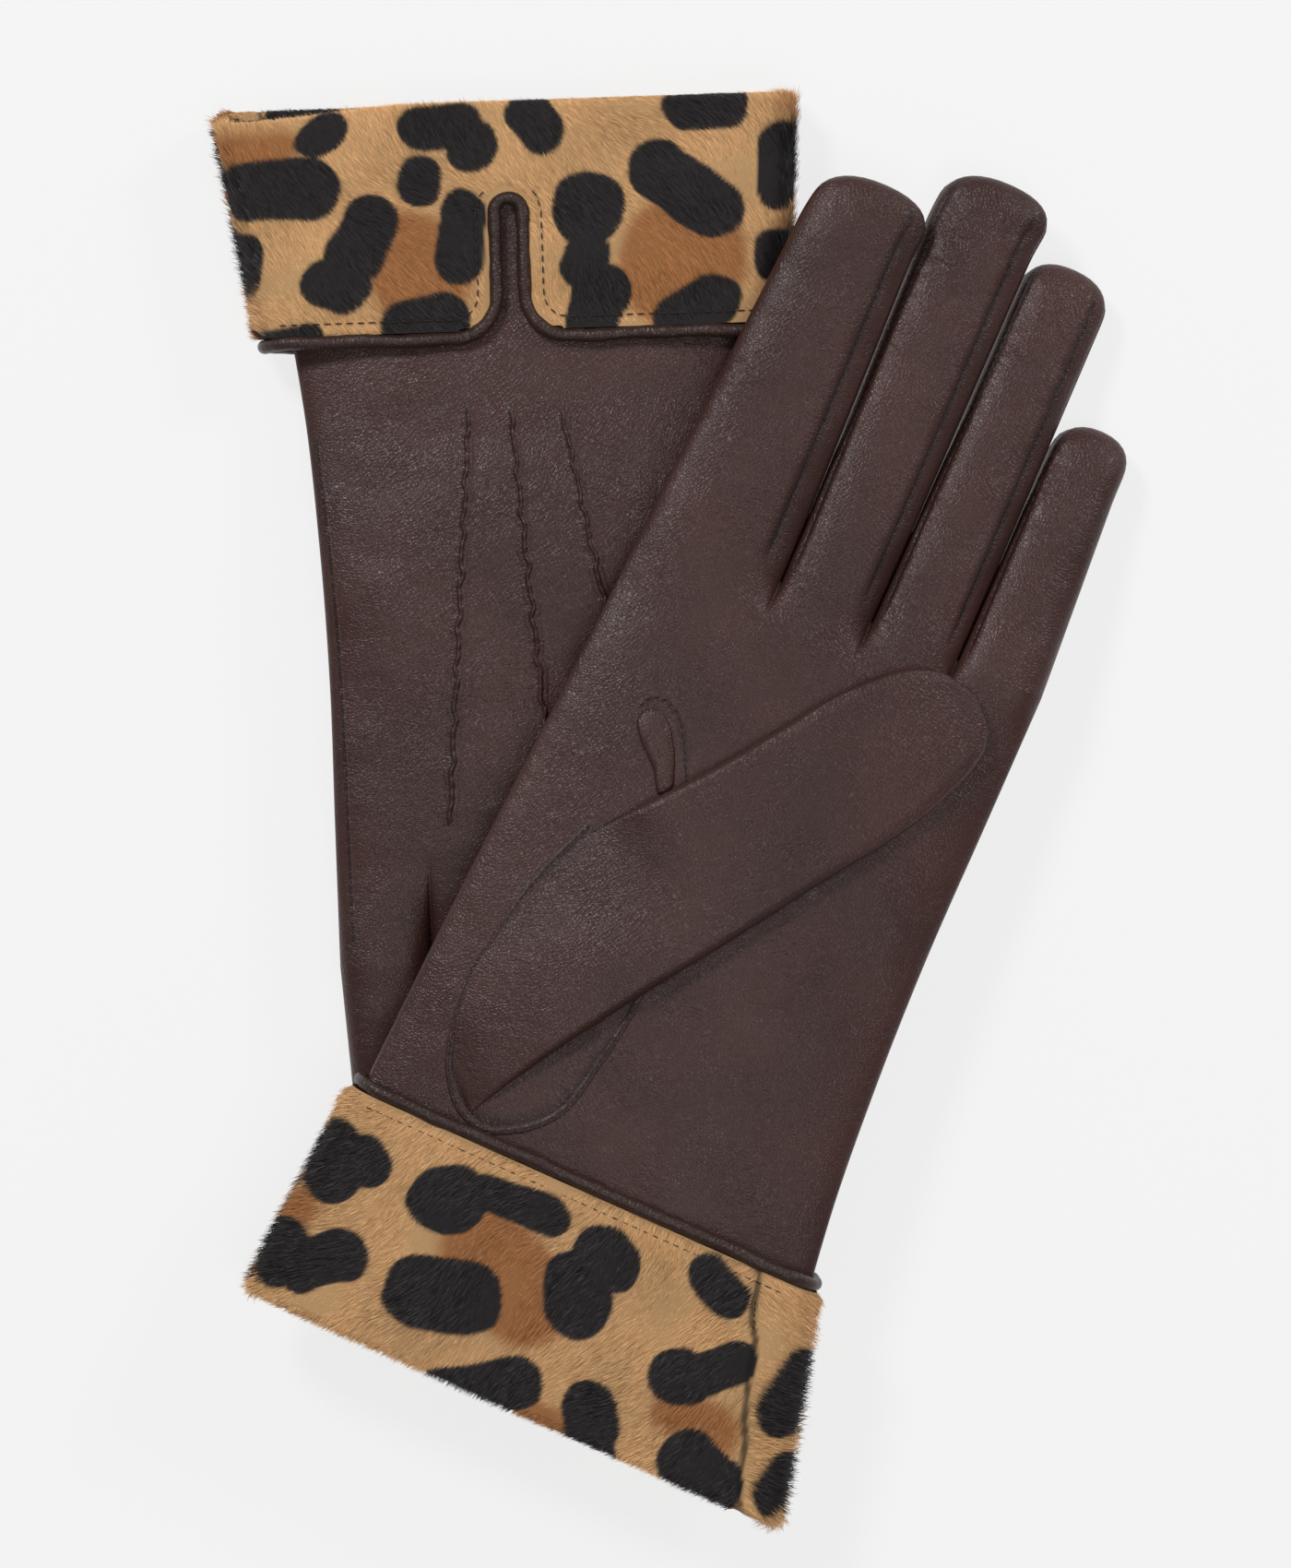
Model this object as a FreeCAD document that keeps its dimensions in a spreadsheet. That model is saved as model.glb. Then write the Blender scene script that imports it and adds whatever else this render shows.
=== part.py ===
"""A pair of short leather dress gloves with turned-back hair-on-hide cuffs, lying on a table.

The left glove lies palm up across the right glove, which lies palm down. Each glove is built in a
frame of its own: +X across the hand towards the little finger, +Y from the folded cuff end towards
the fingertips, +Z up from the table. A side value of +1 is palm up and -1 is palm down, and it mirrors
everything that sits on one face of the hand. All lengths are in millimetres and angles in degrees.
"""

import FreeCAD, Part
from FreeCAD import Placement, Rotation, Vector

import math
import os

X_AXIS, Y_AXIS, Z_AXIS = Vector(1, 0, 0), Vector(0, 1, 0), Vector(0, 0, 1)
# Cutting blocks reach this far past the glove, and prisms this far above the palm.
REACH = 120.0
PRISM = 20.0
SHEET = "Dimensions"
FINGERS = ("index", "middle", "ring", "little")

# Leather and lining, and the gaps between pieces.
SIZES = {
    "leather": 0.9,
    "lining": 0.4,
    "fit_gap": 0.3,
    "body_gap": 0.4,
    # The cuff: a flattened tube, wider at its folded end than at its bound edge.
    "cuff_length": 45.3,
    "cuff_half_fold": 58.8,
    "left_cuff_half_edge": 51.3,
    "left_cuff_centre_edge": -4.7,
    "right_cuff_half_edge": 53.7,
    "right_cuff_centre_edge": -2.3,
    "cuff_end_radius": 8.0,
    "cuff_press": 0.05,
    "cuff_wall": 2.6,
    "cuff_fold_depth": 1.6,
    "turn_in_length": 12.0,
    "turn_in_wall": 0.9,
    "turn_in_slack": 1.5,
    "binding_radius": 1.4,
    "vent_half_width": 4.2,
    "vent_end": 17.8,
    "vent_corner": 7.0,
    # Where the hand's leather ends and the fingers start.
    "knuckle_line": 170.0,
    "knuckle_gap": 0.4,
    # The fingers' side strips: how far each wraps onto the palm, and how far short of the tip it ends.
    "fourchette_wrap": 3.4,
    "fourchette_stop": 9.0,
    "finger_half_thick": 4.2,
    "tip_wall_factor": 1.6,
    # The set-in thumb: the oval it is sewn into, its turning line and the way through for the hand.
    "thumb_angle": 31.6,
    "thumb_base_x": -30.3,
    "thumb_base_y": 49.6,
    "oval_half_long": 39.0,
    "oval_half_wide": 15.0,
    "oval_centre_x": -25.5,
    "oval_centre_y": 87.0,
    "oval_turn": 5.0,
    "passage_half_long": 30.0,
    "passage_half_wide": 9.5,
    "passage_shift": -1.0,
    "hinge_x": -36.0,
    "hinge_y": 52.0,
    "hinge_turn": -4.7,
    # The quirk, a small gusset in the palm beside the thumb.
    "quirk_x": -27.6,
    "quirk_y": 136.5,
    "quirk_half_long": 6.5,
    "quirk_half_wide": 3.0,
    "quirk_turn": -26.0,
    # The three stitched tucks on the back of the hand.
    "point_radius": 0.5,
    "point_gap": 0.4,
    # Where each glove lies: its folded cuff end's centre, its lift and the way it is turned.
    "left_x": -29.78,
    "left_y": -117.85,
    "left_lift": 0.3,
    "left_turn": -24.1,
    "right_x": -31.58,
    "right_y": 139.95,
    "right_lift": 0.0,
    "right_turn": 181.9,
}
# The hand's sections: distance from the fold, centre, half width, half thickness, then the height of
# the middle and the tilt about Y for each glove.
HAND = (
    (2.0, 0.0, 55.2, 4.8, 18.6, 8.0, 0.0),
    (30.0, -3.2, 50.0, 4.7, 20.65, 8.0, 0.0),
    (58.0, -5.2, 47.2, 4.9, 22.0, 8.8, 0.8),
    (86.0, -5.9, 45.5, 5.5, 21.85, 11.1, 2.8),
    (114.0, -6.4, 43.5, 5.5, 21.45, 11.1, 4.0),
    (142.0, -6.3, 42.3, 5.3, 20.4, 11.1, 5.0),
    (170.0, -5.5, 42.2, 4.6, 18.1, 10.0, 5.0),
)
HAND_COLUMNS = ("along", "centre", "half", "thick", "left_rise", "right_rise", "left_tilt")
# Each finger: centre and half width at the knuckles and at the tip, tip distance from the fold, then
# the height of its middle at the knuckles and at the tip for each glove.
FINGER = {
    "index": (-32.9, 14.6, -33.6, 10.4, 250.0, 20.6, 17.8, 10.0, 4.2),
    "middle": (-8.3, 9.2, -11.5, 9.6, 260.5, 18.3, 9.8, 10.0, 4.2),
    "ring": (10.9, 9.2, 10.2, 8.6, 250.5, 16.6, 5.0, 10.0, 4.2),
    "little": (28.6, 7.9, 27.4, 7.1, 223.5, 15.0, 4.9, 10.0, 4.4),
}
FINGER_COLUMNS = (
    "centre_base",
    "half_base",
    "centre_tip",
    "half_tip",
    "tip",
    "left_rise_base",
    "left_rise_tip",
    "right_rise_base",
    "right_rise_tip",
)
# A finger's sections: share of its length, then how much narrower and thinner its end gets.
FINGER_SHAPE = (
    (0.0, 1.0, 1.0),
    (0.25, 1.0, 1.0),
    (0.5, 1.0, 1.0),
    (0.75, 0.99, 0.95),
    (0.92, 0.84, 0.7),
    (1.0, 0.42, 0.32),
)
# The thumb's sections along its own length: distance, width, half thickness, then the height of its
# middle and the tilt for each glove.
THUMB = (
    (3.0, 12.0, 1.1, 28.9, 2.2, -2.5, 0.0),
    (20.0, 25.0, 1.8, 30.0, 2.7, -1.8, 0.0),
    (36.0, 31.6, 2.4, 30.5, 3.3, 0.0, 0.0),
    (54.0, 32.8, 2.5, 30.6, 2.8, 1.7, 0.0),
    (73.0, 28.4, 2.5, 29.5, 2.7, 4.0, 0.0),
    (96.0, 29.3, 2.5, 27.4, 2.9, 6.6, -1.5),
    (115.0, 26.8, 2.3, 24.5, 3.5, 9.0, -4.0),
    (124.0, 17.0, 1.7, 22.7, 4.2, 9.0, -4.0),
    (127.5, 9.0, 0.8, 22.0, 4.6, 9.0, -4.0),
)
THICKEST = 4
THUMB_COLUMNS = ("along", "width", "thick", "left_rise", "right_rise", "left_tilt", "right_tilt")
# Each tuck on the back: across and along at its cuff end, then at its finger end.
POINTS = ((9.0, 62.0, 15.5, 143.0), (0.8, 62.0, -5.4, 143.0), (-9.2, 62.0, -24.6, 143.0))
POINT_COLUMNS = ("x_start", "y_start", "x_end", "y_end")

SIDES = {"left": 1, "right": -1}


def fill_sheet(doc):
    """Writes every driving dimension into the sheet, one cell with an alias each."""
    sheet = doc.addObject("Spreadsheet::Sheet", SHEET)
    values = dict(SIZES)
    for i, row in enumerate(HAND):
        values.update({f"hand_{name}_{i}": v for name, v in zip(HAND_COLUMNS, row)})
    for finger, row in FINGER.items():
        values.update({f"{finger}_{name}": v for name, v in zip(FINGER_COLUMNS, row)})
    for i, (share, width, thick) in enumerate(FINGER_SHAPE):
        values.update({f"shape_share_{i}": share, f"shape_width_{i}": width, f"shape_thick_{i}": thick})
    for i, row in enumerate(THUMB):
        values.update({f"thumb_{name}_{i}": v for name, v in zip(THUMB_COLUMNS, row)})
    for i, row in enumerate(POINTS):
        values.update({f"point_{name}_{i}": v for name, v in zip(POINT_COLUMNS, row)})
    for row, (alias, value) in enumerate(values.items(), start=1):
        sheet.set(f"A{row}", alias)
        sheet.set(f"B{row}", str(value))
        sheet.setAlias(f"B{row}", alias)
    doc.recompute()
    return sheet


def minus(names):
    """The expression that takes the named sheet values off."""
    return "".join(f" - {SHEET}.{name}" for name in names)


class Glove:
    """One glove of the pair, with the helpers that build its pieces in its own frame."""

    def __init__(self, doc, sheet, name):
        self.doc = doc
        self.sheet = sheet
        self.name = name
        self.side = SIDES[name]
        place = Vector(*(self.size(f"{name}_{axis}") for axis in ("x", "y", "lift")))
        self.place = Placement(place, Rotation(Z_AXIS, self.size(f"{name}_turn")))
        self.subparts = []

    def size(self, alias):
        return float(self.sheet.get(alias))

    def add(self, kind, label):
        thing = self.doc.addObject(kind, f"{self.name}_{label}")
        thing.Label = f"{self.name}_{label}"
        return thing

    def keep(self, thing, label, place=None):
        """Marks an object as a sub-part of the pair and puts it where its glove lies."""
        thing.Label = f"{self.name}_{label}"
        thing.Placement = self.place * (place or Placement())
        self.subparts.append(thing)

    def section(self, label, place, half_width, half_thick, facing=90):
        """An ellipse whose half axes are the two expressions, standing across the glove at place.

        Facing is -90 where the tilt grows along the loft, so that the sections' seams stay in line.
        """
        ellipse = self.add("Part::Ellipse", label)
        ellipse.setExpression("MajorRadius", half_width)
        ellipse.setExpression("MinorRadius", half_thick)
        ellipse.Placement = place * Placement(Vector(), Rotation(X_AXIS, facing))
        return ellipse

    def loft(self, label, sections):
        loft = self.add("Part::Loft", label)
        loft.Sections = sections
        loft.Solid = True
        return loft

    def cut(self, label, base, tool):
        result = self.add("Part::Cut", label)
        result.Base = base
        result.Tool = tool
        return result

    def common(self, label, base, tool):
        result = self.add("Part::Common", label)
        result.Base = base
        result.Tool = tool
        return result

    def union(self, label, shapes):
        result = self.add("Part::MultiFuse", label)
        result.Shapes = shapes
        return result

    # The hand

    def hand_height(self, x, y):
        """Height of the hand's middle surface at a point, and its half thickness there."""
        rows = [
            [self.size(f"hand_{c}_{i}") for c in ("along", "centre", "half", "thick", f"{self.name}_rise")]
            for i in range(len(HAND))
        ]
        tilts = [self.hand_tilt(i) for i in range(len(HAND))]
        after = next((i for i, row in enumerate(rows) if row[0] > y), len(rows) - 1)
        before = max(after - 1, 0)
        span = rows[after][0] - rows[before][0]
        share = (y - rows[before][0]) / span if span else 0.0
        mix = [a + (b - a) * share for a, b in zip(rows[before], rows[after])]
        tilt = tilts[before] + (tilts[after] - tilts[before]) * share
        _, centre, half, thick, rise = mix
        offset = x - centre
        crown = math.sqrt(max(0.0, 1 - (offset / half) ** 2))
        return rise - offset * math.sin(math.radians(tilt)), thick * crown

    def hand_tilt(self, i):
        return self.size(f"hand_left_tilt_{i}") if self.name == "left" else 0.0

    def hand_loft(self, label, inset, overrun=0.0):
        """The hand's outline pulled in by the named values, run on past both ends by overrun."""
        sections = []
        last = len(HAND) - 1
        for i in range(len(HAND)):
            y = self.size(f"hand_along_{i}") + {0: -overrun, last: overrun}.get(i, 0.0)
            place = Placement(
                Vector(self.size(f"hand_centre_{i}"), y, self.size(f"hand_{self.name}_rise_{i}")),
                Rotation(Y_AXIS, self.hand_tilt(i)),
            )
            half = f"{SHEET}.hand_half_{i}" + minus(inset)
            thick = f"{SHEET}.hand_thick_{i}" + minus(inset)
            sections.append(self.section(f"{label}_section_{i}", place, half, thick, facing=-90))
        return self.loft(label, sections)

    def palm_prism(self, label, x, y, turn, half_long, half_wide):
        """An upright oval column on the palm side of the hand, to cut or keep a patch of the palm."""
        middle, _ = self.hand_height(x, y)
        oval = self.add("Part::Ellipse", f"{label}_outline")
        oval.setExpression("MajorRadius", f"{SHEET}.{half_long}")
        oval.setExpression("MinorRadius", f"{SHEET}.{half_wide}")
        oval.Placement = Placement(Vector(x, y, middle), Rotation(Z_AXIS, 90 + turn))
        column = self.add("Part::Extrusion", label)
        column.Base = oval
        column.Dir = Vector(0, 0, self.side)
        column.LengthFwd = PRISM
        column.Solid = True
        return column

    def hand(self):
        """The hand leather with its thumb hole, the gusset and quirk set into it, and the lining."""
        self.oval_place = (self.size("oval_centre_x"), self.size("oval_centre_y"), self.size("oval_turn"))
        tube = self.cut(
            "hand_tube",
            self.hand_loft("hand_outside", ()),
            self.hand_loft("hand_inside", ("leather",), overrun=1.0),
        )
        quirk_place = (self.size("quirk_x"), self.size("quirk_y"), self.size("quirk_turn"))
        ovals = ("oval_half_long", "oval_half_wide")
        quirks = ("quirk_half_long", "quirk_half_wide")
        oval = self.palm_prism("thumb_oval", *self.oval_place, *ovals)
        quirk = self.palm_prism("quirk_oval", *quirk_place, *quirks)
        pieces = self.union("palm_ovals", [oval, quirk])
        self.keep(self.cut("hand_leather", tube, pieces), "hand_leather")

        self.keep(self.common("quirk", tube, self.palm_prism("quirk_keep", *quirk_place, *quirks)), "quirk")
        patch = self.common("gusset_patch", tube, self.palm_prism("gusset_keep", *self.oval_place, *ovals))
        passage = self.passage("gusset_passage")
        self.keep(self.cut("thumb_gusset", patch, passage), "thumb_gusset")

        lining_inset = ("leather", "fit_gap")
        inner_inset = ("leather", "fit_gap", "lining")
        sleeve = self.cut(
            "lining_tube",
            self.hand_loft("lining_outside", lining_inset),
            self.hand_loft("lining_inside", inner_inset, overrun=1.0),
        )
        mouth = self.slab("lining_mouth", -10.0, f"10 + {SHEET}.turn_in_length + {SHEET}.fit_gap")
        openings = self.union("lining_openings", [mouth, self.passage("lining_passage")])
        self.keep(self.cut("hand_lining", sleeve, openings), "hand_lining")

    def slab(self, label, start, length):
        """A block right across the glove from start, as long as the expression says."""
        slab = self.add("Part::Box", label)
        slab.Length = 2 * REACH
        slab.setExpression("Width", length)
        slab.Height = REACH
        slab.Placement = Placement(Vector(-REACH, start, -REACH / 2), Rotation())
        return slab

    def passage(self, label):
        """The way through the palm into the thumb."""
        x, y, turn = self.oval_place
        x += self.size("passage_shift")
        return self.palm_prism(label, x, y, turn, "passage_half_long", "passage_half_wide")

    # The fingers

    def finger_loft(self, label, finger, inset, overrun=0.0):
        """One finger's outline pulled in by the named values, its tip pulled in a little more."""
        base = self.size("knuckle_line") + self.size("knuckle_gap")
        pulled = sum(self.size(name) for name in inset) * self.size("tip_wall_factor")
        length = self.size(f"{finger}_tip") - pulled - base
        tilt = self.hand_tilt(len(HAND) - 1)
        sections = []
        for i in range(len(FINGER_SHAPE)):
            share = self.size(f"shape_share_{i}")
            centre, rise = (
                self.size(f"{finger}_{what}_base") * (1 - share) + self.size(f"{finger}_{what}_tip") * share
                for what in ("centre", f"{self.name}_rise")
            )
            y = base + length * share - (overrun if i == 0 else 0.0)
            place = Placement(Vector(centre, y, rise), Rotation(Y_AXIS, tilt * (1 - share)))
            part = f"{SHEET}.shape_share_{i}"
            wide = f"{SHEET}.{finger}_half_base * (1 - {part}) + {SHEET}.{finger}_half_tip * {part}"
            half = f"({wide}{minus(inset)}) * {SHEET}.shape_width_{i}"
            thick = f"({SHEET}.finger_half_thick{minus(inset)}) * {SHEET}.shape_thick_{i}"
            sections.append(self.section(f"{label}_section_{i}", place, half, thick))
        return self.loft(label, sections)

    def side_box(self, label, finger, direction):
        """The box that holds one edge of a finger, lying along that edge."""
        base = self.size("knuckle_line") + self.size("knuckle_gap")
        stop = self.size(f"{finger}_tip") - self.size("fourchette_stop")
        edge = [
            self.size(f"{finger}_centre_{end}") + direction * self.size(f"{finger}_half_{end}")
            for end in ("base", "tip")
        ]
        length = self.size(f"{finger}_tip") - base
        turn = -math.degrees(math.atan2(edge[1] - edge[0], length))
        wrap = self.size("fourchette_wrap")
        outside = 10.0
        box = self.add("Part::Box", label)
        box.setExpression("Width", f"{SHEET}.{finger}_tip - {SHEET}.fourchette_stop - {base - 4.0}")
        box.setExpression("Length", f"{SHEET}.fourchette_wrap + {outside}")
        box.Height = REACH
        left = -outside if direction < 0 else -wrap
        corner = Placement(Vector(edge[0], base - 4.0, 0), Rotation(Z_AXIS, turn))
        box.Placement = corner * Placement(Vector(left, 0, -REACH / 2), Rotation())
        if stop <= base:
            raise ValueError(f"{finger}: the fourchette has no length")
        return box

    def finger(self, finger):
        """One finger: its leather, the side strips sewn between it and its neighbours, its lining."""
        tube = self.cut(
            f"{finger}_tube",
            self.finger_loft(f"{finger}_outside", finger, ()),
            self.finger_loft(f"{finger}_inside", finger, ("leather",), overrun=1.0),
        )
        neighbours = {"index": (1,), "middle": (-1, 1), "ring": (-1, 1), "little": (-1,)}[finger]
        boxes = []
        for direction in neighbours:
            facing = FINGERS[FINGERS.index(finger) + direction]
            label = f"{finger}_fourchette_facing_{facing}"
            strip = self.common(label, tube, self.side_box(f"{label}_keep", finger, direction))
            self.keep(strip, label)
            boxes.append(self.side_box(f"{label}_cut", finger, direction))
        tool = self.union(f"{finger}_edges", boxes) if len(boxes) > 1 else boxes[0]
        self.keep(self.cut(f"{finger}_leather", tube, tool), f"{finger}_leather")
        lining = self.cut(
            f"{finger}_lining",
            self.finger_loft(f"{finger}_lining_outside", finger, ("leather", "fit_gap")),
            self.finger_loft(
                f"{finger}_lining_inside", finger, ("leather", "fit_gap", "lining"), overrun=1.0
            ),
        )
        self.keep(lining, f"{finger}_lining")

    # The thumb

    def thumb_frame(self):
        """The thumb's own frame: +Y along the thumb from the corner where its folded edge starts."""
        corner = Vector(self.size("thumb_base_x"), self.size("thumb_base_y"), 0)
        return Placement(corner, Rotation(Z_AXIS, -self.size("thumb_angle")))

    def thumb_loft(self, label, inset):
        sections = []
        last = len(THUMB) - 1
        pulled = sum(self.size(name) for name in inset) * self.size("tip_wall_factor")
        for i in range(len(THUMB)):
            y = self.size(f"thumb_along_{i}")
            if i == last:
                y -= pulled
            if i == 0:
                y += pulled
            width = self.size(f"thumb_width_{i}")
            rise = self.size(f"thumb_{self.name}_rise_{i}")
            tilt = self.size(f"thumb_{self.name}_tilt_{i}")
            place = self.thumb_frame() * Placement(Vector(-width / 2, y, rise), Rotation(Y_AXIS, tilt))
            half = f"{SHEET}.thumb_width_{i} / 2" + minus(inset)
            full = f"{SHEET}.thumb_thick_{THICKEST}"
            thick = f"{SHEET}.thumb_thick_{i} * ({full}{minus(inset)}) / {full}"
            facing = -90 if self.name == "left" else 90
            sections.append(self.section(f"{label}_section_{i}", place, half, thick, facing))
        return self.loft(label, sections)

    def hinge_box(self, label, direction, gap):
        """Everything on one side of the thumb's turning line, gap away from it."""
        box = self.add("Part::Box", label)
        box.Length = REACH
        box.Width = 2 * REACH
        box.Height = REACH
        line = Placement(
            Vector(self.size("hinge_x"), self.size("hinge_y"), 0),
            Rotation(Z_AXIS, self.size("hinge_turn")),
        )
        left = gap if direction > 0 else -REACH
        box.Placement = line * Placement(Vector(left, -REACH / 2, -REACH / 2), Rotation())
        return box

    def thumb_floor(self, label):
        """The part of the thumb's palm side that is left open over the passage."""
        x, y, turn = self.oval_place
        middle, thick = self.hand_height(x, y)
        oval = self.add("Part::Ellipse", f"{label}_outline")
        oval.setExpression("MajorRadius", f"{SHEET}.passage_half_long")
        oval.setExpression("MinorRadius", f"{SHEET}.passage_half_wide")
        x += self.size("passage_shift")
        oval.Placement = Placement(Vector(x, y, middle), Rotation(Z_AXIS, 90 + turn))
        column = self.add("Part::Extrusion", label)
        column.Base = oval
        column.Dir = Vector(0, 0, self.side)
        reach = thick + self.size("body_gap") + self.size("thumb_thick_3")
        column.LengthFwd = reach
        column.Solid = True
        return column

    def thumb(self):
        """The thumb leather and lining on one side of the turning line, and its root on the other."""
        outside = self.thumb_loft("thumb_outside", ())
        inside = self.thumb_loft("thumb_inside", ("leather",))
        hollow = self.cut("thumb_tube", outside, inside)
        tube = self.cut("thumb_open_tube", hollow, self.thumb_floor("thumb_floor"))
        gap = self.size("body_gap")
        moving = self.common("thumb_leather", tube, self.hinge_box("thumb_side", 1, gap))
        self.keep(moving, "thumb_leather")
        root = self.common("thumb_root", tube, self.hinge_box("root_side", -1, 0.0))
        self.keep(root, "thumb_root")
        lining = self.cut(
            "thumb_lining_tube",
            self.thumb_loft("thumb_lining_outside", ("leather", "fit_gap")),
            self.thumb_loft("thumb_lining_inside", ("leather", "fit_gap", "lining")),
        )
        opened = self.cut("thumb_lining_open", lining, self.thumb_floor("thumb_lining_floor"))
        side = self.hinge_box("lining_side", 1, gap)
        self.keep(self.common("thumb_lining", opened, side), "thumb_lining")

    # The cuff, in a frame of its own: +Y from the fold to the bound edge, Z 0 in the middle

    def cuff_frame(self):
        rises = [self.size(f"hand_{self.name}_rise_{i}") for i in (0, 1)]
        span = self.size("hand_along_1") - self.size("hand_along_0")
        slope = math.degrees(math.atan2(rises[1] - rises[0], span))
        middle = rises[0] - self.size("hand_along_0") * math.tan(math.radians(slope))
        return Placement(Vector(0, 0, middle), Rotation(X_AXIS, slope))

    def slot_sketch(self, body, label, y, half, centre, radius):
        """A stadium standing across the cuff at y: half width, centre and end radius in numbers."""
        plane = next(o for o in body.Origin.OriginFeatures if o.Role == "XZ_Plane")
        sketch = body.newObject("Sketcher::SketchObject", f"{self.name}_{label}")
        sketch.AttachmentSupport = [(plane, "")]
        sketch.MapMode = "FlatFace"
        sketch.AttachmentOffset = Placement(Vector(0, 0, -y), Rotation())
        right, left = centre + half - radius, centre - half + radius
        sketch.addGeometry(Part.LineSegment(Vector(left, radius, 0), Vector(right, radius, 0)))
        sketch.addGeometry(Part.LineSegment(Vector(right, -radius, 0), Vector(left, -radius, 0)))
        quarter = math.pi / 2
        for middle, start in ((right, -quarter), (left, quarter)):
            circle = Part.Circle(Vector(middle, 0, 0), Z_AXIS, radius)
            sketch.addGeometry(Part.ArcOfCircle(circle, start, start + math.pi))
        return sketch

    def cuff_tube(self, label, wall, overrun=0.0):
        """A lofted stadium tube core: the cuff's outside pulled in by wall."""
        body = self.add("PartDesign::Body", label)
        length = self.size("cuff_length")
        radius = self.size("cuff_end_radius") - wall
        fold = self.slot_sketch(
            body, f"{label}_fold", -overrun, self.size("cuff_half_fold") - wall, 0.0, radius
        )
        half_edge = self.size(f"{self.name}_cuff_half_edge") - wall
        centre_edge = self.size(f"{self.name}_cuff_centre_edge")
        edge = self.slot_sketch(body, f"{label}_edge", length + overrun, half_edge, centre_edge, radius)
        loft = body.newObject("PartDesign::AdditiveLoft", f"{self.name}_{label}_loft")
        loft.Profile = fold
        loft.Sections = [edge]
        body.Tip = loft
        return body

    def vent(self, label):
        """The slit in the cuff on the back of the hand, with rounded corners at the bound edge."""
        half = self.size("vent_half_width")
        corner = self.size("vent_corner")
        edge = self.size("cuff_length")
        end = self.size("vent_end") + half
        beyond = 5.0
        turn = math.sqrt(0.5)

        def arc(start, middle, finish):
            return Part.Arc(Vector(*start, 0), Vector(*middle, 0), Vector(*finish, 0)).toShape()

        def line(start, finish):
            return Part.LineSegment(Vector(*start, 0), Vector(*finish, 0)).toShape()

        right = [
            line((half, end), (half, edge - corner)),
            arc(
                (half, edge - corner),
                (half + corner * (1 - turn), edge - corner * (1 - turn)),
                (half + corner, edge),
            ),
            line((half + corner, edge), (half + corner, edge + beyond)),
        ]
        left = [piece.mirror(Vector(), X_AXIS) for piece in right]
        across = line((half + corner, edge + beyond), (-half - corner, edge + beyond))
        bottom = arc((half, end), (0, end - half), (-half, end))
        outline = Part.Wire(Part.__sortEdges__([*right, *left, across, bottom]))
        slit = self.add("Part::Feature", label)
        slit.Shape = Part.Face(outline).extrude(Vector(0, 0, -self.side * PRISM))
        return slit

    def cuff(self):
        """The hair-on-hide band with its vent and turned-in fold, and the leather binding on its edge."""
        wall = self.size("cuff_wall")
        press = self.size("cuff_press")
        sleeve = self.cut(
            "cuff_sleeve", self.cuff_tube("cuff_outside", -press), self.cuff_tube("cuff_inside", wall, 1.0)
        )
        vented = self.cut("cuff_vented", sleeve, self.vent("cuff_vent"))
        depth = self.size("cuff_fold_depth")
        slab = self.slab("cuff_fold_slab", 0.0, f"{SHEET}.cuff_fold_depth")
        rim = self.common("cuff_rim", self.cuff_tube("cuff_rim_outside", -press), slab)
        turned = self.turn_in("turn_in_outside", 0.0, self.size("turn_in_length"), ("leather", "fit_gap"))
        fold = self.union("cuff_fold", [vented, rim, turned])
        mouth_inset = ("leather", "fit_gap", "turn_in_wall")
        mouth = self.turn_in("turn_in_inside", -1.0, self.size("turn_in_length") + 1.0, mouth_inset)
        pressed = self.common("cuff_pressed", fold, self.press_plate("cuff_press_plate"))
        self.keep(self.cut("cuff_band", pressed, mouth), "cuff_band", self.cuff_frame())
        if depth + self.size("fit_gap") > self.size("hand_along_0"):
            raise ValueError("the hand leather starts inside the cuff's fold")
        self.binding()

    def press_plate(self, label):
        """The space between two flat faces, which press the cuff flat where it lies."""
        plate = self.add("Part::Box", label)
        plate.Length = 2 * REACH
        plate.Width = 2 * REACH
        plate.setExpression("Height", f"2 * {SHEET}.cuff_end_radius")
        radius = self.size("cuff_end_radius")
        plate.Placement = Placement(Vector(-REACH, -REACH, -radius), Rotation())
        return plate

    def turn_in(self, label, start, finish, inset):
        """The flattened core inside the hand leather near the fold, pulled in by the named values."""
        sections = []
        for y in (start, finish):
            share = (y - self.size("hand_along_0")) / (
                self.size("hand_along_1") - self.size("hand_along_0")
            )
            centre = self.size("hand_centre_1") * share
            mixed = f"{SHEET}.hand_half_0 * {1 - share} + {SHEET}.hand_half_1 * {share}"
            place = Placement(Vector(centre, y, 0), Rotation())
            half = f"{mixed}{minus((*inset, 'turn_in_slack'))}"
            thick = f"{SHEET}.hand_thick_0{minus(inset)}"
            sections.append(self.section(f"{label}_{len(sections)}", place, half, thick))
        return self.loft(label, sections)

    def binding(self):
        """The leather cord that edges the cuff and runs round its vent, swept along lines and arcs."""
        radius = self.size("binding_radius")
        level = self.size("cuff_end_radius") - radius
        y = self.size("cuff_length") + radius
        half = self.size(f"{self.name}_cuff_half_edge") - self.size("cuff_end_radius")
        centre = self.size(f"{self.name}_cuff_centre_edge")
        right, left = centre + half, centre - half
        neck = self.size("vent_half_width") - radius
        corner = self.size("vent_corner") + radius
        end = self.size("vent_end") + self.size("vent_half_width")
        back = -self.side * level
        turn = math.sqrt(0.5)

        def arc(start, middle, finish):
            return Part.Arc(Vector(*start), Vector(*middle), Vector(*finish)).toShape()

        def line(start, finish):
            return Part.LineSegment(Vector(*start), Vector(*finish)).toShape()

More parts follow.
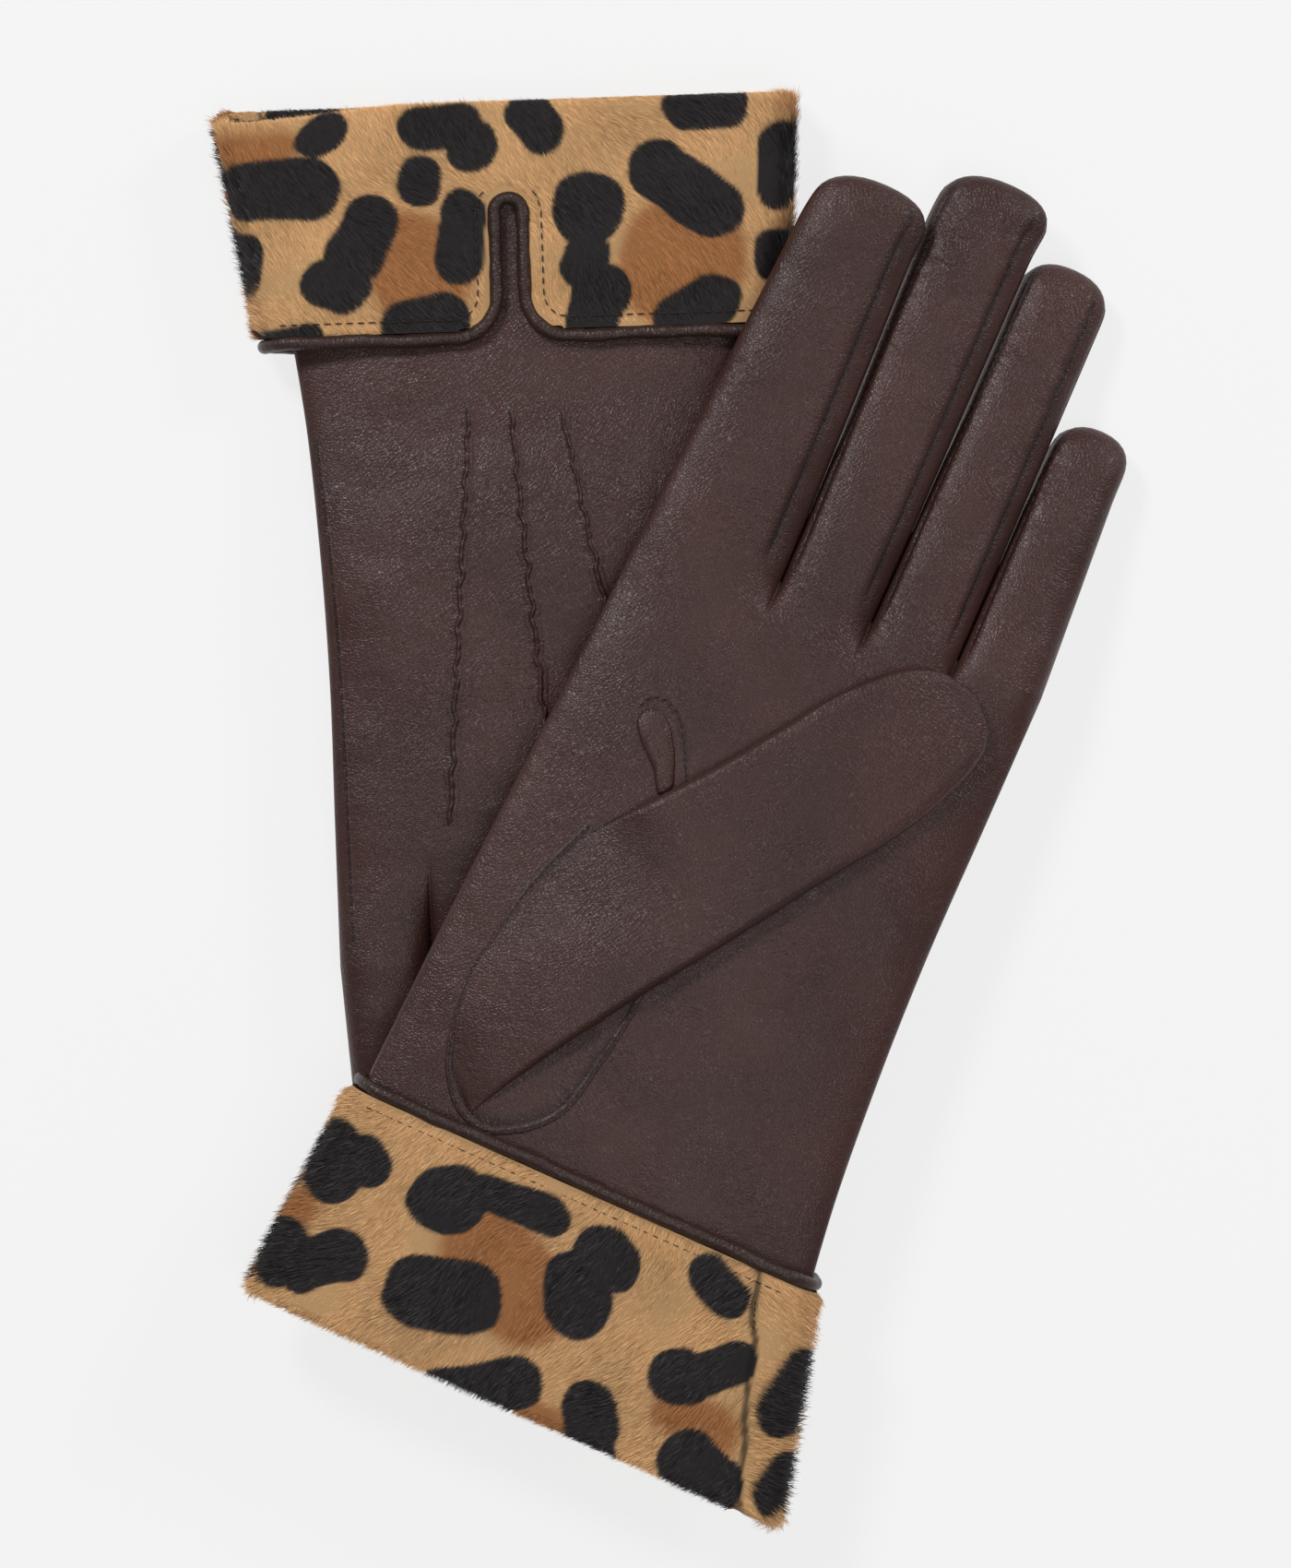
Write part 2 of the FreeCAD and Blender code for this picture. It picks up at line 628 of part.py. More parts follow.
        inner = corner * (1 - turn)
        path = [
            line((centre, y, -back), (right, y, -back)),
            arc((right, y, -back), (right + level, y, 0), (right, y, back)),
            line((right, y, back), (neck + corner, y, back)),
            arc((neck + corner, y, back), (neck + inner, y - inner, back), (neck, y - corner, back)),
            line((neck, y - corner, back), (neck, end, back)),
            arc((neck, end, back), (0, end - neck, back), (-neck, end, back)),
            line((-neck, end, back), (-neck, y - corner, back)),
            arc((-neck, y - corner, back), (-neck - inner, y - inner, back), (-neck - corner, y, back)),
            line((-neck - corner, y, back), (left, y, back)),
            arc((left, y, back), (left - level, y, 0), (left, y, -back)),
            line((left, y, -back), (centre, y, -back)),
        ]
        spine = Part.Wire(path)
        circle = Part.Wire(Part.Circle(Vector(centre, y, -back), X_AXIS, radius).toShape())
        cord = self.add("Part::Feature", "cuff_binding")
        cord.Shape = spine.makePipeShell([circle], True, False)
        self.keep(cord, "cuff_binding", self.cuff_frame())

    def back_points(self):
        """Three slim tucks on the back of the hand, as separate solids in one sub-part."""
        tucks = []
        for i in range(len(POINTS)):
            x_start, y_start, x_end, y_end = (self.size(f"point_{c}_{i}") for c in POINT_COLUMNS)
            rings = []
            for y in (y_start, self.size("hand_along_3"), self.size("hand_along_4"), y_end):
                x = x_start + (x_end - x_start) * (y - y_start) / (y_end - y_start)
                middle, thick = self.hand_height(x, y)
                rise = thick + self.size("point_radius") + self.size("point_gap")
                ring = self.add("Part::Circle", f"back_point_{i}_ring_{len(rings)}")
                ring.setExpression("Radius", f"{SHEET}.point_radius")
                ring.Placement = Placement(Vector(x, y, middle - self.side * rise), Rotation(X_AXIS, 90))
                rings.append(ring)
            tuck = self.loft(f"back_point_{i}", rings)
            tuck.Ruled = True
            tucks.append(tuck)
        group = self.add("Part::Compound", "back_points")
        group.Links = tucks
        self.keep(group, "back_points")

    def build(self):
        self.hand()
        for finger in FINGERS:
            self.finger(finger)
        self.thumb()
        self.cuff()
        self.back_points()


def check(doc, subparts):
    """Stops if any object failed or any sub-part isn't made of valid closed solids."""
    for thing in doc.Objects:
        bad = [state for state in thing.State if state in ("Invalid", "Error")]
        if bad:
            raise RuntimeError(f"{thing.Label} is {bad}")
    for part in subparts:
        shape = part.Shape
        if shape.isNull() or not shape.isValid() or not shape.Solids or shape.Volume <= 0:
            raise RuntimeError(f"{part.Label} isn't a valid solid")


def main():
    doc = FreeCAD.newDocument("gloves")
    sheet = fill_sheet(doc)
    gloves = [Glove(doc, sheet, name) for name in SIDES]
    for glove in gloves:
        glove.build()
    doc.recompute()
    subparts = [part for glove in gloves for part in glove.subparts]
    check(doc, subparts)
    os.makedirs("parts", exist_ok=True)
    for part in subparts:
        part.Shape.exportStep(f"parts/{part.Label}.step")
        print(part.Label, len(part.Shape.Solids), round(part.Shape.Volume, 1))


main()
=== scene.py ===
"""Looks for a pair of soft leather gloves with turned-back spotted hide cuffs.

Each glove is shaped in a frame of its own, in millimetres: u across the hand towards the little finger,
v from the folded cuff end towards the fingertips, w up from the table. A face of +1 is the palm and -1
the back of the hand, and side says which of them looks up: +1 for the left glove and -1 for the right.
"""

import math

import bpy
import numpy as np
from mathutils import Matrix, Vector


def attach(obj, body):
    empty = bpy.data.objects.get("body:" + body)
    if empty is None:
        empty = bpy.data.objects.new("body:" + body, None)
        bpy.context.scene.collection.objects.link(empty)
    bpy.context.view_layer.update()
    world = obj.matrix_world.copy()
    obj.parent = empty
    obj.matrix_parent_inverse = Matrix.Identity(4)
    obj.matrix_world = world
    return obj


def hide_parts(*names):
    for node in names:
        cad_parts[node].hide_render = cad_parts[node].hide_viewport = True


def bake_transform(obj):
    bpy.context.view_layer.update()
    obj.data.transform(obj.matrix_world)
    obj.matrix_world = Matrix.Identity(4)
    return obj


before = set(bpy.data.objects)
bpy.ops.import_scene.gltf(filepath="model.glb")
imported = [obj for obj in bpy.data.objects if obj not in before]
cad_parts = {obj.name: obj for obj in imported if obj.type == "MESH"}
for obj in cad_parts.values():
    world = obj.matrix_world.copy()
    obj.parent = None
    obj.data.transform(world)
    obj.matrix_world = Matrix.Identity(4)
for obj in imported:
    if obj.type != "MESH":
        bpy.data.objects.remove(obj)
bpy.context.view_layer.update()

MM = 0.001
FINGERS = ("index", "middle", "ring", "little")
NEIGHBOURS = {"index": (1,), "middle": (-1, 1), "ring": (-1, 1), "little": (-1,)}
KNUCKLES = 170.0
# Where the valleys between the fingers start on each face of the hand, and how suddenly they deepen.
VALLEY_START = {1: 159.0, -1: 148.0}
VALLEY_POWER = {1: 1.8, -1: 1.0}
# The back's swells and texture are read this far from the palm's, in millimetres, so that they differ.
BACK_SHIFT = 200.0
UV_SHIFT = 300.0

# Where each glove lies: x, y, lift, turn in degrees, side.
PLACES = {"left": (-29.78, -117.85, 0.3, -24.1, 1), "right": (-31.58, 139.95, 0.0, 181.9, -1)}
# The hand: v, centre, half width, half thickness, height of the middle on the left and right, left tilt.
HAND = np.array(
    (
        (2.0, 0.0, 55.2, 4.8, 18.6, 8.0, 0.0),
        (30.0, -3.2, 50.0, 4.7, 20.65, 8.0, 0.0),
        (58.0, -5.2, 47.2, 4.9, 22.0, 8.8, 0.8),
        (86.0, -5.9, 45.5, 5.5, 21.85, 11.1, 2.8),
        (114.0, -5.8, 44.2, 5.5, 21.45, 11.1, 4.0),
        (142.0, -5.1, 43.4, 5.3, 20.4, 11.1, 5.0),
        (170.0, -4.6, 42.8, 4.6, 18.1, 10.0, 5.0),
    )
)
HAND_SQUARE = 2.6
# Each finger: centre and half width at the knuckles and the tip, where the tip is, then its height at the
# knuckles and the tip on the left and on the right.
FINGER = {
    "index": (-32.9, 14.5, -32.6, 11.3, 250.0, 20.6, 17.6, 10.0, 4.6),
    "middle": (-8.4, 9.6, -10.4, 11.0, 260.5, 18.3, 9.8, 10.0, 4.6),
    "ring": (10.7, 9.1, 9.8, 8.8, 250.5, 16.6, 5.0, 10.0, 4.6),
    "little": (29.2, 9.0, 27.0, 7.6, 223.5, 15.0, 4.9, 10.0, 4.6),
}
# How far each fingertip leans towards the little finger.
TIP_LEAN = {"index": 1.6, "middle": 1.8, "ring": 0.0, "little": 0.9}
FINGER_THICK = 4.2
FINGER_SQUARE = 2.9
FINGER_COLUMNS = 24
# How many columns from a finger's edge its seams run: on the side of the little finger, and of the index.
SEAM_COLUMN = {1: 6, -1: 4}
# How far before the fingertip the side strips stop, and how far inside the leather the lining is.
FOURCHETTE_STOP = 7.0
LINING_INSET = 1.4
# The part of a finger's length over which its details fade out at the tip.
TIP_TAPER = (0.93, 1.0)
# How far the side strips bulge past a finger's edge underneath, and how deep each tip's creases are.
LIP = {"left": 0.3, "right": 0.1}
CREASES = {"index": 0.10, "middle": 0.42, "ring": 0.26, "little": 0.18}
# The thumb's own axes start at the corner where its folded edge meets the palm.
THUMB_CORNER = np.array((-30.3, 49.6))
THUMB_ALONG = np.array((0.524, 0.852))
THUMB_ACROSS = np.array((-0.852, 0.524))
# Distance along the thumb, then the distance of its upper and lower edges from the fold line.
THUMB_UPPER = ((-0.5, 2.5), (0.7, 9), (3.6, 14.8), (12.8, 23.8), (24, 29), (35.3, 32.7), (51, 34.4))
THUMB_UPPER += ((65.4, 31.5), (77, 30.1), (95, 28.8), (105, 28.4), (112, 27.1), (118, 25.4), (122.5, 22.8))
THUMB_UPPER += ((126, 18.6), (128, 13))
THUMB_LOWER = ((-0.5, 1.0), (8, 1.4), (37, 1.2), (57, 0.2), (78, -0.5), (113, -0.4), (120, 1.2))
THUMB_LOWER += ((124.5, 3.8), (127, 7.6), (128, 12))
THUMB_HEIGHT = ((0, 0.5), (6, 1.7), (18, 3.2), (36, 3.9), (100, 3.9), (118, 3.4), (128, 2.2))
THUMB_END = 128.0
# How far along the thumb it is sewn to the hand, fading to free, and how far that edge is drawn in.
THUMB_SEWN = (50.0, 66.0)
THUMB_DRAWN_IN = 1.5
# The line that the thumb turns about: a point on it and its direction.
HINGE = (np.array((-36.0, 52.0)), np.array((0.082, 0.997)))
# The oval seam that the thumb is set into, and the quirk above it.
OVAL = ((-33, 111.1), (-38.8, 95.2), (-41.1, 80.2), (-41.3, 64.2), (-38.6, 55.5), (-33.1, 49.2))
OVAL += ((-28, 47.6), (-23.3, 49.3), (-16.1, 55.5), (-12.2, 69.2), (-10.4, 83), (-11.5, 97))
OVAL += ((-16, 108), (-24.5, 115))
# The quirk's leaf, and the stitched seam outside it.
QUIRK = ((-32.2, 136.6), (-33.2, 134.2), (-31.2, 130.6), (-26.2, 126.0), (-22.6, 121.6))
QUIRK_BACK = ((-21.0, 123.6), (-22.0, 127.4), (-24.6, 132.6), (-27.4, 136.0), (-30.4, 137.4))
QUIRK_SEAM = ((-33.6, 136.0), (-32.6, 138.2), (-30.4, 139.5), (-26.9, 138.5), (-23.6, 134.6), (-20.6, 129.2))
QUIRK_SEAM += ((-18.4, 124.6),)
# The tucks on the back: across and along at the cuff end and at the finger end.
POINTS = ((9.0, 60.0, 15.5, 143.0), (0.8, 60.5, -5.4, 143.0), (-9.2, 61.0, -24.6, 143.0))
# The cuff.
CUFF_LENGTH = 45.3
CUFF_FOLD = 58.8
CUFF_EDGE = {"left": 51.3, "right": 53.7}
CUFF_CENTRE = {"left": -4.7, "right": -2.3}
CUFF_RADIUS = 8.0
HIDE_DEPTH = 1.2
TURN_IN_RADIUS = 3.6
VENT_HALF = 4.2
VENT_END = 17.8
VENT_CORNER = 7.0
BINDING = 1.4
# How far the upper lip of the right cuff's mouth lies back from the lower one at its open end.
MOUTH_DIP = 2.6
CUFF_SEAM = ((34.9, 39.5), (49.0, -1.0))
STITCH_INSET = 2.3
# The print: places of the spots on each face, as middle, half length, half width, turn in degrees.
BACK_BLACK = (
    (45.0, 15.5, 12.4, 6.6, -3),
    (36.5, 4.6, 5.6, 4.4, 30),
    (54.0, 31.5, 7.6, 5.2, 80),
    (29.0, 26.5, 9.4, 5.6, 58),
    (34.5, 35.8, 7.0, 5.2, -20),
    (13.0, 4.6, 8.2, 4.6, 5),
    (6.6, 9.2, 5.4, 4.4, 60),
    (-6.0, 4.5, 6.4, 4.6, -55),
    (17.2, 15.2, 5.0, 4.4, 80),
    (9.6, 26.8, 9.6, 4.8, 84),
    (17.0, 43.6, 9.2, 5.4, 15),
    (44.2, 46.0, 6.6, 2.6, 5),
    (-39.9, 2.4, 8.8, 4.4, 5),
    (-31.0, 15.6, 7.4, 6.0, -42),
    (-37.4, 20.2, 10.2, 6.2, -38),
    (-15.9, 21.8, 7.6, 7.0, 20),
    (-14.8, 32.0, 6.2, 4.6, 75),
    (-17.0, 41.0, 8.4, 5.8, 65),
    (-36.6, 42.6, 9.2, 5.4, 28),
    (-54.0, 14.3, 8.8, 4.6, 84),
    (-52.5, 31.9, 5.4, 4.0, 80),
)
BACK_ORANGE = ((49.0, 6.2, 8.6, 4.2, 0), (19.0, 33.0, 12.5, 9.6, -60), (-34.0, 33.0, 13.6, 12.0, 60))
PALM_BLACK = (
    (-52.6, 30.2, 8.6, 6.6, -60),
    (-46.6, 33.0, 5.4, 5.0, 20),
    (-54.5, 9.6, 7.6, 6.6, 40),
    (-46.2, 11.6, 9.4, 5.4, 42),
    (-28.2, 33.2, 8.2, 6.6, 30),
    (-15.0, 38.2, 10.4, 3.6, 4),
    (-21.4, 15.4, 12.0, 7.6, 17),
    (4.8, 35.4, 7.2, 5.6, -30),
    (2.4, 26.4, 9.0, 6.8, -62),
    (27.2, 39.2, 7.4, 4.2, -25),
    (-7.4, 1.6, 12.8, 5.2, 30),
    (14.6, 5.4, 7.4, 5.6, -55),
    (17.4, -1.8, 6.2, 5.2, -70),
    (27.6, 19.8, 6.6, 6.0, 25),
    (33.6, 24.2, 7.8, 4.6, 42),
    (38.8, 4.4, 9.4, 6.4, -20),
    (49.6, 26.0, 9.6, 5.2, 78),
    (54.6, 8.4, 7.2, 4.0, 78),
)
PALM_ORANGE = ((-56.0, 18.6, 5.4, 3.6, 20), (-12.0, 24.0, 15.5, 10.0, -25), (3.2, -1.6, 9.6, 5.8, 0))
PALM_ORANGE += ((34.0, 13.2, 9.0, 4.6, 0),)
SPOTS = {-1: (BACK_BLACK, BACK_ORANGE), 1: (PALM_BLACK, PALM_ORANGE)}
HAIRS = 60000
# The part of the hairs that are added close to the bound edge.
EDGE_SHARE = 0.07
# How far along a hair it bends, then the least and greatest length and half width.
HAIR_BEND = 0.55
HAIR_LENGTH = (1.4, 2.7)
HAIR_WIDTH = (0.045, 0.085)
# How far along the hide from its bound edge the outside ends, and then the hair.
OUTSIDE_END = 44.0
HAIR_END = 49.5
# How many columns the cuff's mesh has round the band.
CUFF_COLUMNS = 340
# The part of the way round the cuff that is half of one rounded side.
SIDE_SHARE = 0.044
# Cross sections of the raised seams: offset across, height, and how dark it is.
FLAT_SEAM = ((-0.9, -0.12, 0.0), (-0.5, 0.05, 0.05), (-0.2, 0.11, 0.6), (0.0, 0.06, 1.0))
FLAT_SEAM += ((0.2, 0.11, 0.6), (0.5, 0.05, 0.05), (0.9, -0.12, 0.0))
# The tucks' darkness is painted shadow in the hollows beside the ridge, deeper on one side.
TUCK = ((-2.0, -0.2, 0.0), (-1.3, 0.10, 0.0), (-0.8, 0.18, 0.0), (-0.45, 0.16, 0.15), (-0.25, 0.62, 0.0))
TUCK += ((0.0, 0.82, 0.0), (0.25, 0.62, 0.1), (0.45, 0.08, 0.8), (0.8, 0.16, 0.1), (1.3, 0.10, 0.0))
TUCK += ((2.0, -0.2, 0.0),)
HAIR_TAN = np.array((0.77, 0.455, 0.205))
HAIR_ORANGE = np.array((0.48, 0.20, 0.065))
HAIR_BLACK = np.array((0.019, 0.014, 0.015))

# The camera, in metres: where it is, how far below it the gloves lie and how much of their plane it sees.
CAMERA_PLACE = (-0.0037, 0.00495, 2.5)
GLOVES_BELOW = 2.48
VIEW_HEIGHT = 0.3091
SENSOR_HEIGHT = 24.0


# Shared shapes


def smoothstep(low, high, x):
    t = np.clip((x - low) / (high - low), 0.0, 1.0)
    return t * t * (3.0 - 2.0 * t)


def curve(x, xs, ys):
    """A smooth line through the points (xs, ys), read at x."""
    xs, ys = np.asarray(xs, float), np.asarray(ys, float)
    slopes = np.gradient(ys, xs)
    x = np.clip(np.asarray(x, float), xs[0], xs[-1])
    i = np.clip(np.searchsorted(xs, x, side="right") - 1, 0, len(xs) - 2)
    span = xs[i + 1] - xs[i]
    t = (x - xs[i]) / span
    a = (2 * t**3 - 3 * t**2 + 1) * ys[i] + (t**3 - 2 * t**2 + t) * span * slopes[i]
    return a + (-2 * t**3 + 3 * t**2) * ys[i + 1] + (t**3 - t**2) * span * slopes[i + 1]


def table(x, rows):
    return curve(x, [r[0] for r in rows], [r[1] for r in rows])


def rounded(distance, radius):
    """The height of a quarter circle's edge, from 0 at the edge to 1 at radius from it."""
    return np.sqrt(np.clip(1 - (1 - np.clip(distance / radius, 0, 1)) ** 2, 0, 1))


def unit(vectors):
    return vectors / np.linalg.norm(vectors, axis=-1, keepdims=True)


def path_steps(points):
    """Distance along a line of points, from its start to each point."""
    return np.concatenate([[0.0], np.cumsum(np.linalg.norm(np.diff(points, axis=0), axis=1))])


def path_across(path):
    """The unit direction across a flat path at each of its points."""
    tangent = unit(np.gradient(path, axis=0))
    return np.stack([tangent[:, 1], -tangent[:, 0]], -1)


def turned(a, b, angle):
    """The directions a and b turned together by an angle in their plane."""
    return a * np.cos(angle) + b * np.sin(angle), b * np.cos(angle) - a * np.sin(angle)


def spot_cover(u, y, spot, soft):
    """How much a spot, which is a rounded bar, covers each point, from 0 to 1."""
    spot_u, spot_y, half_length, half_width, degrees = spot
    c, s = math.cos(math.radians(degrees)), math.sin(math.radians(degrees))
    along = (u - spot_u) * c + (y - spot_y) * s
    across = -(u - spot_u) * s + (y - spot_y) * c
    reach = max(half_length - half_width, 0.0)
    along = along - np.clip(along, -reach, reach)
    return 1 - smoothstep(-soft, soft, np.hypot(along, across) - half_width)


def straight_steps(a, b, step=0.8):
    """Points from a to b, without b."""
    count = max(2, int(math.dist(a, b) / step))
    return [tuple(np.array(a) + (np.array(b) - np.array(a)) * k / count) for k in range(count)]


def arc_steps(radius, start, stop, step=0.7):
    """Points of an arc about the origin, without its last."""
    count = max(4, int(abs(stop - start) * radius / step))
    angles = [start + (stop - start) * k / count for k in range(count)]
    return [(radius * math.cos(angle), radius * math.sin(angle)) for angle in angles]


def waves(u, v, length, seed, stretch=1.0):
    """Smooth noise from about -1 to 1, with bumps about length long and stretched across by stretch."""
    rng = np.random.default_rng(seed)
    total = np.zeros(np.broadcast(u, v).shape)
    for _ in range(7):
        angle, phase = rng.uniform(0, 2 * math.pi, 2)
        wave = length * rng.uniform(0.7, 1.5) / (2 * math.pi)
        total += np.sin((u / stretch * math.cos(angle) + v * math.sin(angle)) / wave + phase)
    return total / 3.5


def path_points(points, spacing, closed=False):
    """Points at about equal spacing along a smooth line through the given ones, of any dimension."""
    points = np.asarray(points, float)
    if closed:
        points = np.vstack([points, points[:1]])
    steps = path_steps(points)
    count = max(4, int(steps[-1] / spacing))
    at = np.linspace(0, steps[-1], count + 1)
    if not closed:
        return np.stack([curve(at, steps, points[:, k]) for k in range(points.shape[1])], axis=1)
    wrapped = np.concatenate([[steps[-2] - steps[-1]], steps, [steps[-1] + steps[1]]])
    around = np.vstack([points[-2], points, points[1]])
    return np.stack([curve(at, wrapped, around[:, k]) for k in range(points.shape[1])], axis=1)


# Making meshes


def new_object(name, vertices, faces, material):
    """A smooth-shaded mesh object from points in millimetres, in the shared frame."""
    mesh = bpy.data.meshes.new(name)
    mesh.from_pydata((np.asarray(vertices) * MM).tolist(), [], [list(f) for f in faces])
    mesh.polygons.foreach_set("use_smooth", [True] * len(mesh.polygons))
    mesh.materials.append(material)
    mesh.update()
    thing = bpy.data.objects.new(name, mesh)
    bpy.context.scene.collection.objects.link(thing)
    return thing


def grid_faces(rows, columns, wrap):
    """Vertex numbers of the quads of a grid, row by row, one per cell."""
    i, j = np.meshgrid(np.arange(rows - 1), np.arange(columns if wrap else columns - 1), indexing="ij")
    k = (j + 1) % columns
    return np.stack([i * columns + j, i * columns + k, (i + 1) * columns + k, (i + 1) * columns + j], -1)


def grid_object(name, points, material, uv=None, wrap=False, mask=None, flip=False, dark=None):
    """A mesh from a grid of points. mask keeps cells, uv is in millimetres, and dark darkens the seams and
    holds the painted shadow beside the tucks.
    """
    rows, columns = points.shape[:2]
    faces = grid_faces(rows, columns, wrap)
    faces = faces[mask] if mask is not None else faces.reshape(-1, 4)
    if flip:
        faces = faces[:, ::-1]
    used, index = np.unique(faces, return_inverse=True)
    faces = index.reshape(faces.shape)
    thing = new_object(name, points.reshape(-1, 3)[used], faces, material)
    mesh = thing.data
    if uv is not None:
        set_uv(mesh, uv.reshape(-1, 2)[used])
    if dark is not None:
        set_value(mesh, "seam", np.broadcast_to(dark, (rows, columns)).reshape(-1)[used])
    return thing


def set_uv(mesh, uv):
    """A UV map from one pair per vertex, in millimetres, scaled to a tenth of a metre per unit."""
    layer = mesh.uv_layers.new(name="UVMap")
    loops = np.zeros(len(mesh.loops), np.int32)
    mesh.loops.foreach_get("vertex_index", loops)
    layer.data.foreach_set("uv", (uv[loops] / 100.0).astype(np.float32).ravel())


def set_value(mesh, name, values):
    layer = mesh.attributes.new(name, "FLOAT", "POINT")
    layer.data.foreach_set("value", np.ascontiguousarray(values, np.float32))


def set_colour(mesh, values):
    layer = mesh.color_attributes.new("Hair", "FLOAT_COLOR", "POINT")
    rgba = np.concatenate([values, np.ones((len(values), 1))], axis=1).astype(np.float32)
    layer.data.foreach_set("color", rgba.ravel())


def ring_directions(across, lift, sides):
    """Unit directions round each point of a line, from its two cross directions."""
    angles = np.linspace(0, 2 * math.pi, sides, endpoint=False)[None, :, None]
    return np.cos(angles) * across[:, None] + np.sin(angles) * lift[:, None]


def closed_tube(name, centres, radii, material, sides):
    """A round cord along a closed line of centres, in millimetres."""
    n = len(centres)
    tangents = unit(np.roll(centres, -1, axis=0) - np.roll(centres, 1, axis=0))
    across = np.zeros_like(tangents)
    across[0] = unit(np.cross(tangents[0], (0.0, 0.0, 1.0)))
    for i in range(1, n):
        across[i] = unit(across[i - 1] - tangents[i] * np.dot(across[i - 1], tangents[i]))
    lift = np.cross(across, tangents)
    spare = math.atan2(np.dot(across[-1], lift[0]), np.dot(across[-1], across[0]))
    across, lift = turned(across, lift, -spare * np.linspace(0, 1, n)[:, None])
    points = centres[:, None] + ring_directions(across, lift, sides) * radii[:, None, None]
    points = np.concatenate([points, points[:1]])
    angles = np.linspace(0, 2 * math.pi, sides, endpoint=False)
    uv = np.stack(np.broadcast_arrays(angles[None], path_steps(points[:, 0])[:, None]), -1)
    return grid_object(name, points, material, uv=uv, wrap=True)


def stitch_object(name, starts, ends, radius, material):
    """Short round-ended threads from starts to ends, in millimetres, as one mesh."""
    starts, ends = np.asarray(starts, float), np.asarray(ends, float)
    along = unit(ends - starts)
    across = unit(np.cross(along, (0.0, 0.0, 1.0)))
    sides, shape = 6, ((0.0, 0.35), (0.15, 0.9), (0.5, 1.0), (0.85, 0.9), (1.0, 0.35))
    ring = ring_directions(across, np.cross(across, along), sides)
    rings = [(starts + (ends - starts) * t)[:, None] + ring * (radius * r) for t, r in shape]
    points = np.stack(rings, axis=1)
    cell = grid_faces(len(shape), sides, True).reshape(-1, 4)
    caps = [list(range(sides))[::-1], [(len(shape) - 1) * sides + k for k in range(sides)]]
    faces = []
    per = len(shape) * sides
    for k in range(len(starts)):
        faces += (cell + k * per).tolist()
        faces += [[x + k * per for x in cap] for cap in caps]
    return new_object(name, points.reshape(-1, 3), faces, material)


# Materials


class Nodes:
    """Adds shader nodes to one material and joins them."""

    def __init__(self, name):
        self.material = bpy.data.materials.new(name)
        self.material.use_nodes = True
        self.tree = self.material.node_tree
        self.bsdf = self.tree.nodes["Principled BSDF"]

    def add(self, kind, **inputs):
        node = self.tree.nodes.new(kind)
        for name, value in inputs.items():
            self.put(node, name, value)
        return node

    def put(self, node, name, value):
        socket = node.inputs[name]
        if isinstance(value, bpy.types.NodeSocket):
            self.tree.links.new(value, socket)
        else:
            socket.default_value = value

    def maths(self, operation, a, b=0.0, clamp=False):
        node = self.add("ShaderNodeMath")
        node.operation = operation
        node.use_clamp = clamp
        self.put(node, 0, a)
        self.put(node, 1, b)
        return node.outputs[0]

    def mix(self, factor, a, b):
        node = self.add("ShaderNodeMix")
        node.data_type = "RGBA"
        self.put(node, 0, factor)
        self.put(node, 6, a)
        self.put(node, 7, b)
        return node.outputs[2]

    def noise(self, vector, scale, detail=3.0, rough=0.5):
        node = self.add("ShaderNodeTexNoise", Vector=vector, Scale=scale, Detail=detail, Roughness=rough)
        return node.outputs["Fac"]

    def ramp(self, value, low, high):
        node = self.add("ShaderNodeMapRange", Value=value)
        node.interpolation_type = "SMOOTHSTEP"
        self.put(node, "From Min", low)
        self.put(node, "From Max", high)
        return node.outputs[0]

    def bump(self, height, strength, distance, normal=None):
        node = self.add("ShaderNodeBump", Height=height, Strength=strength, Distance=distance)
        if normal is not None:
            self.put(node, "Normal", normal)
        return node.outputs[0]


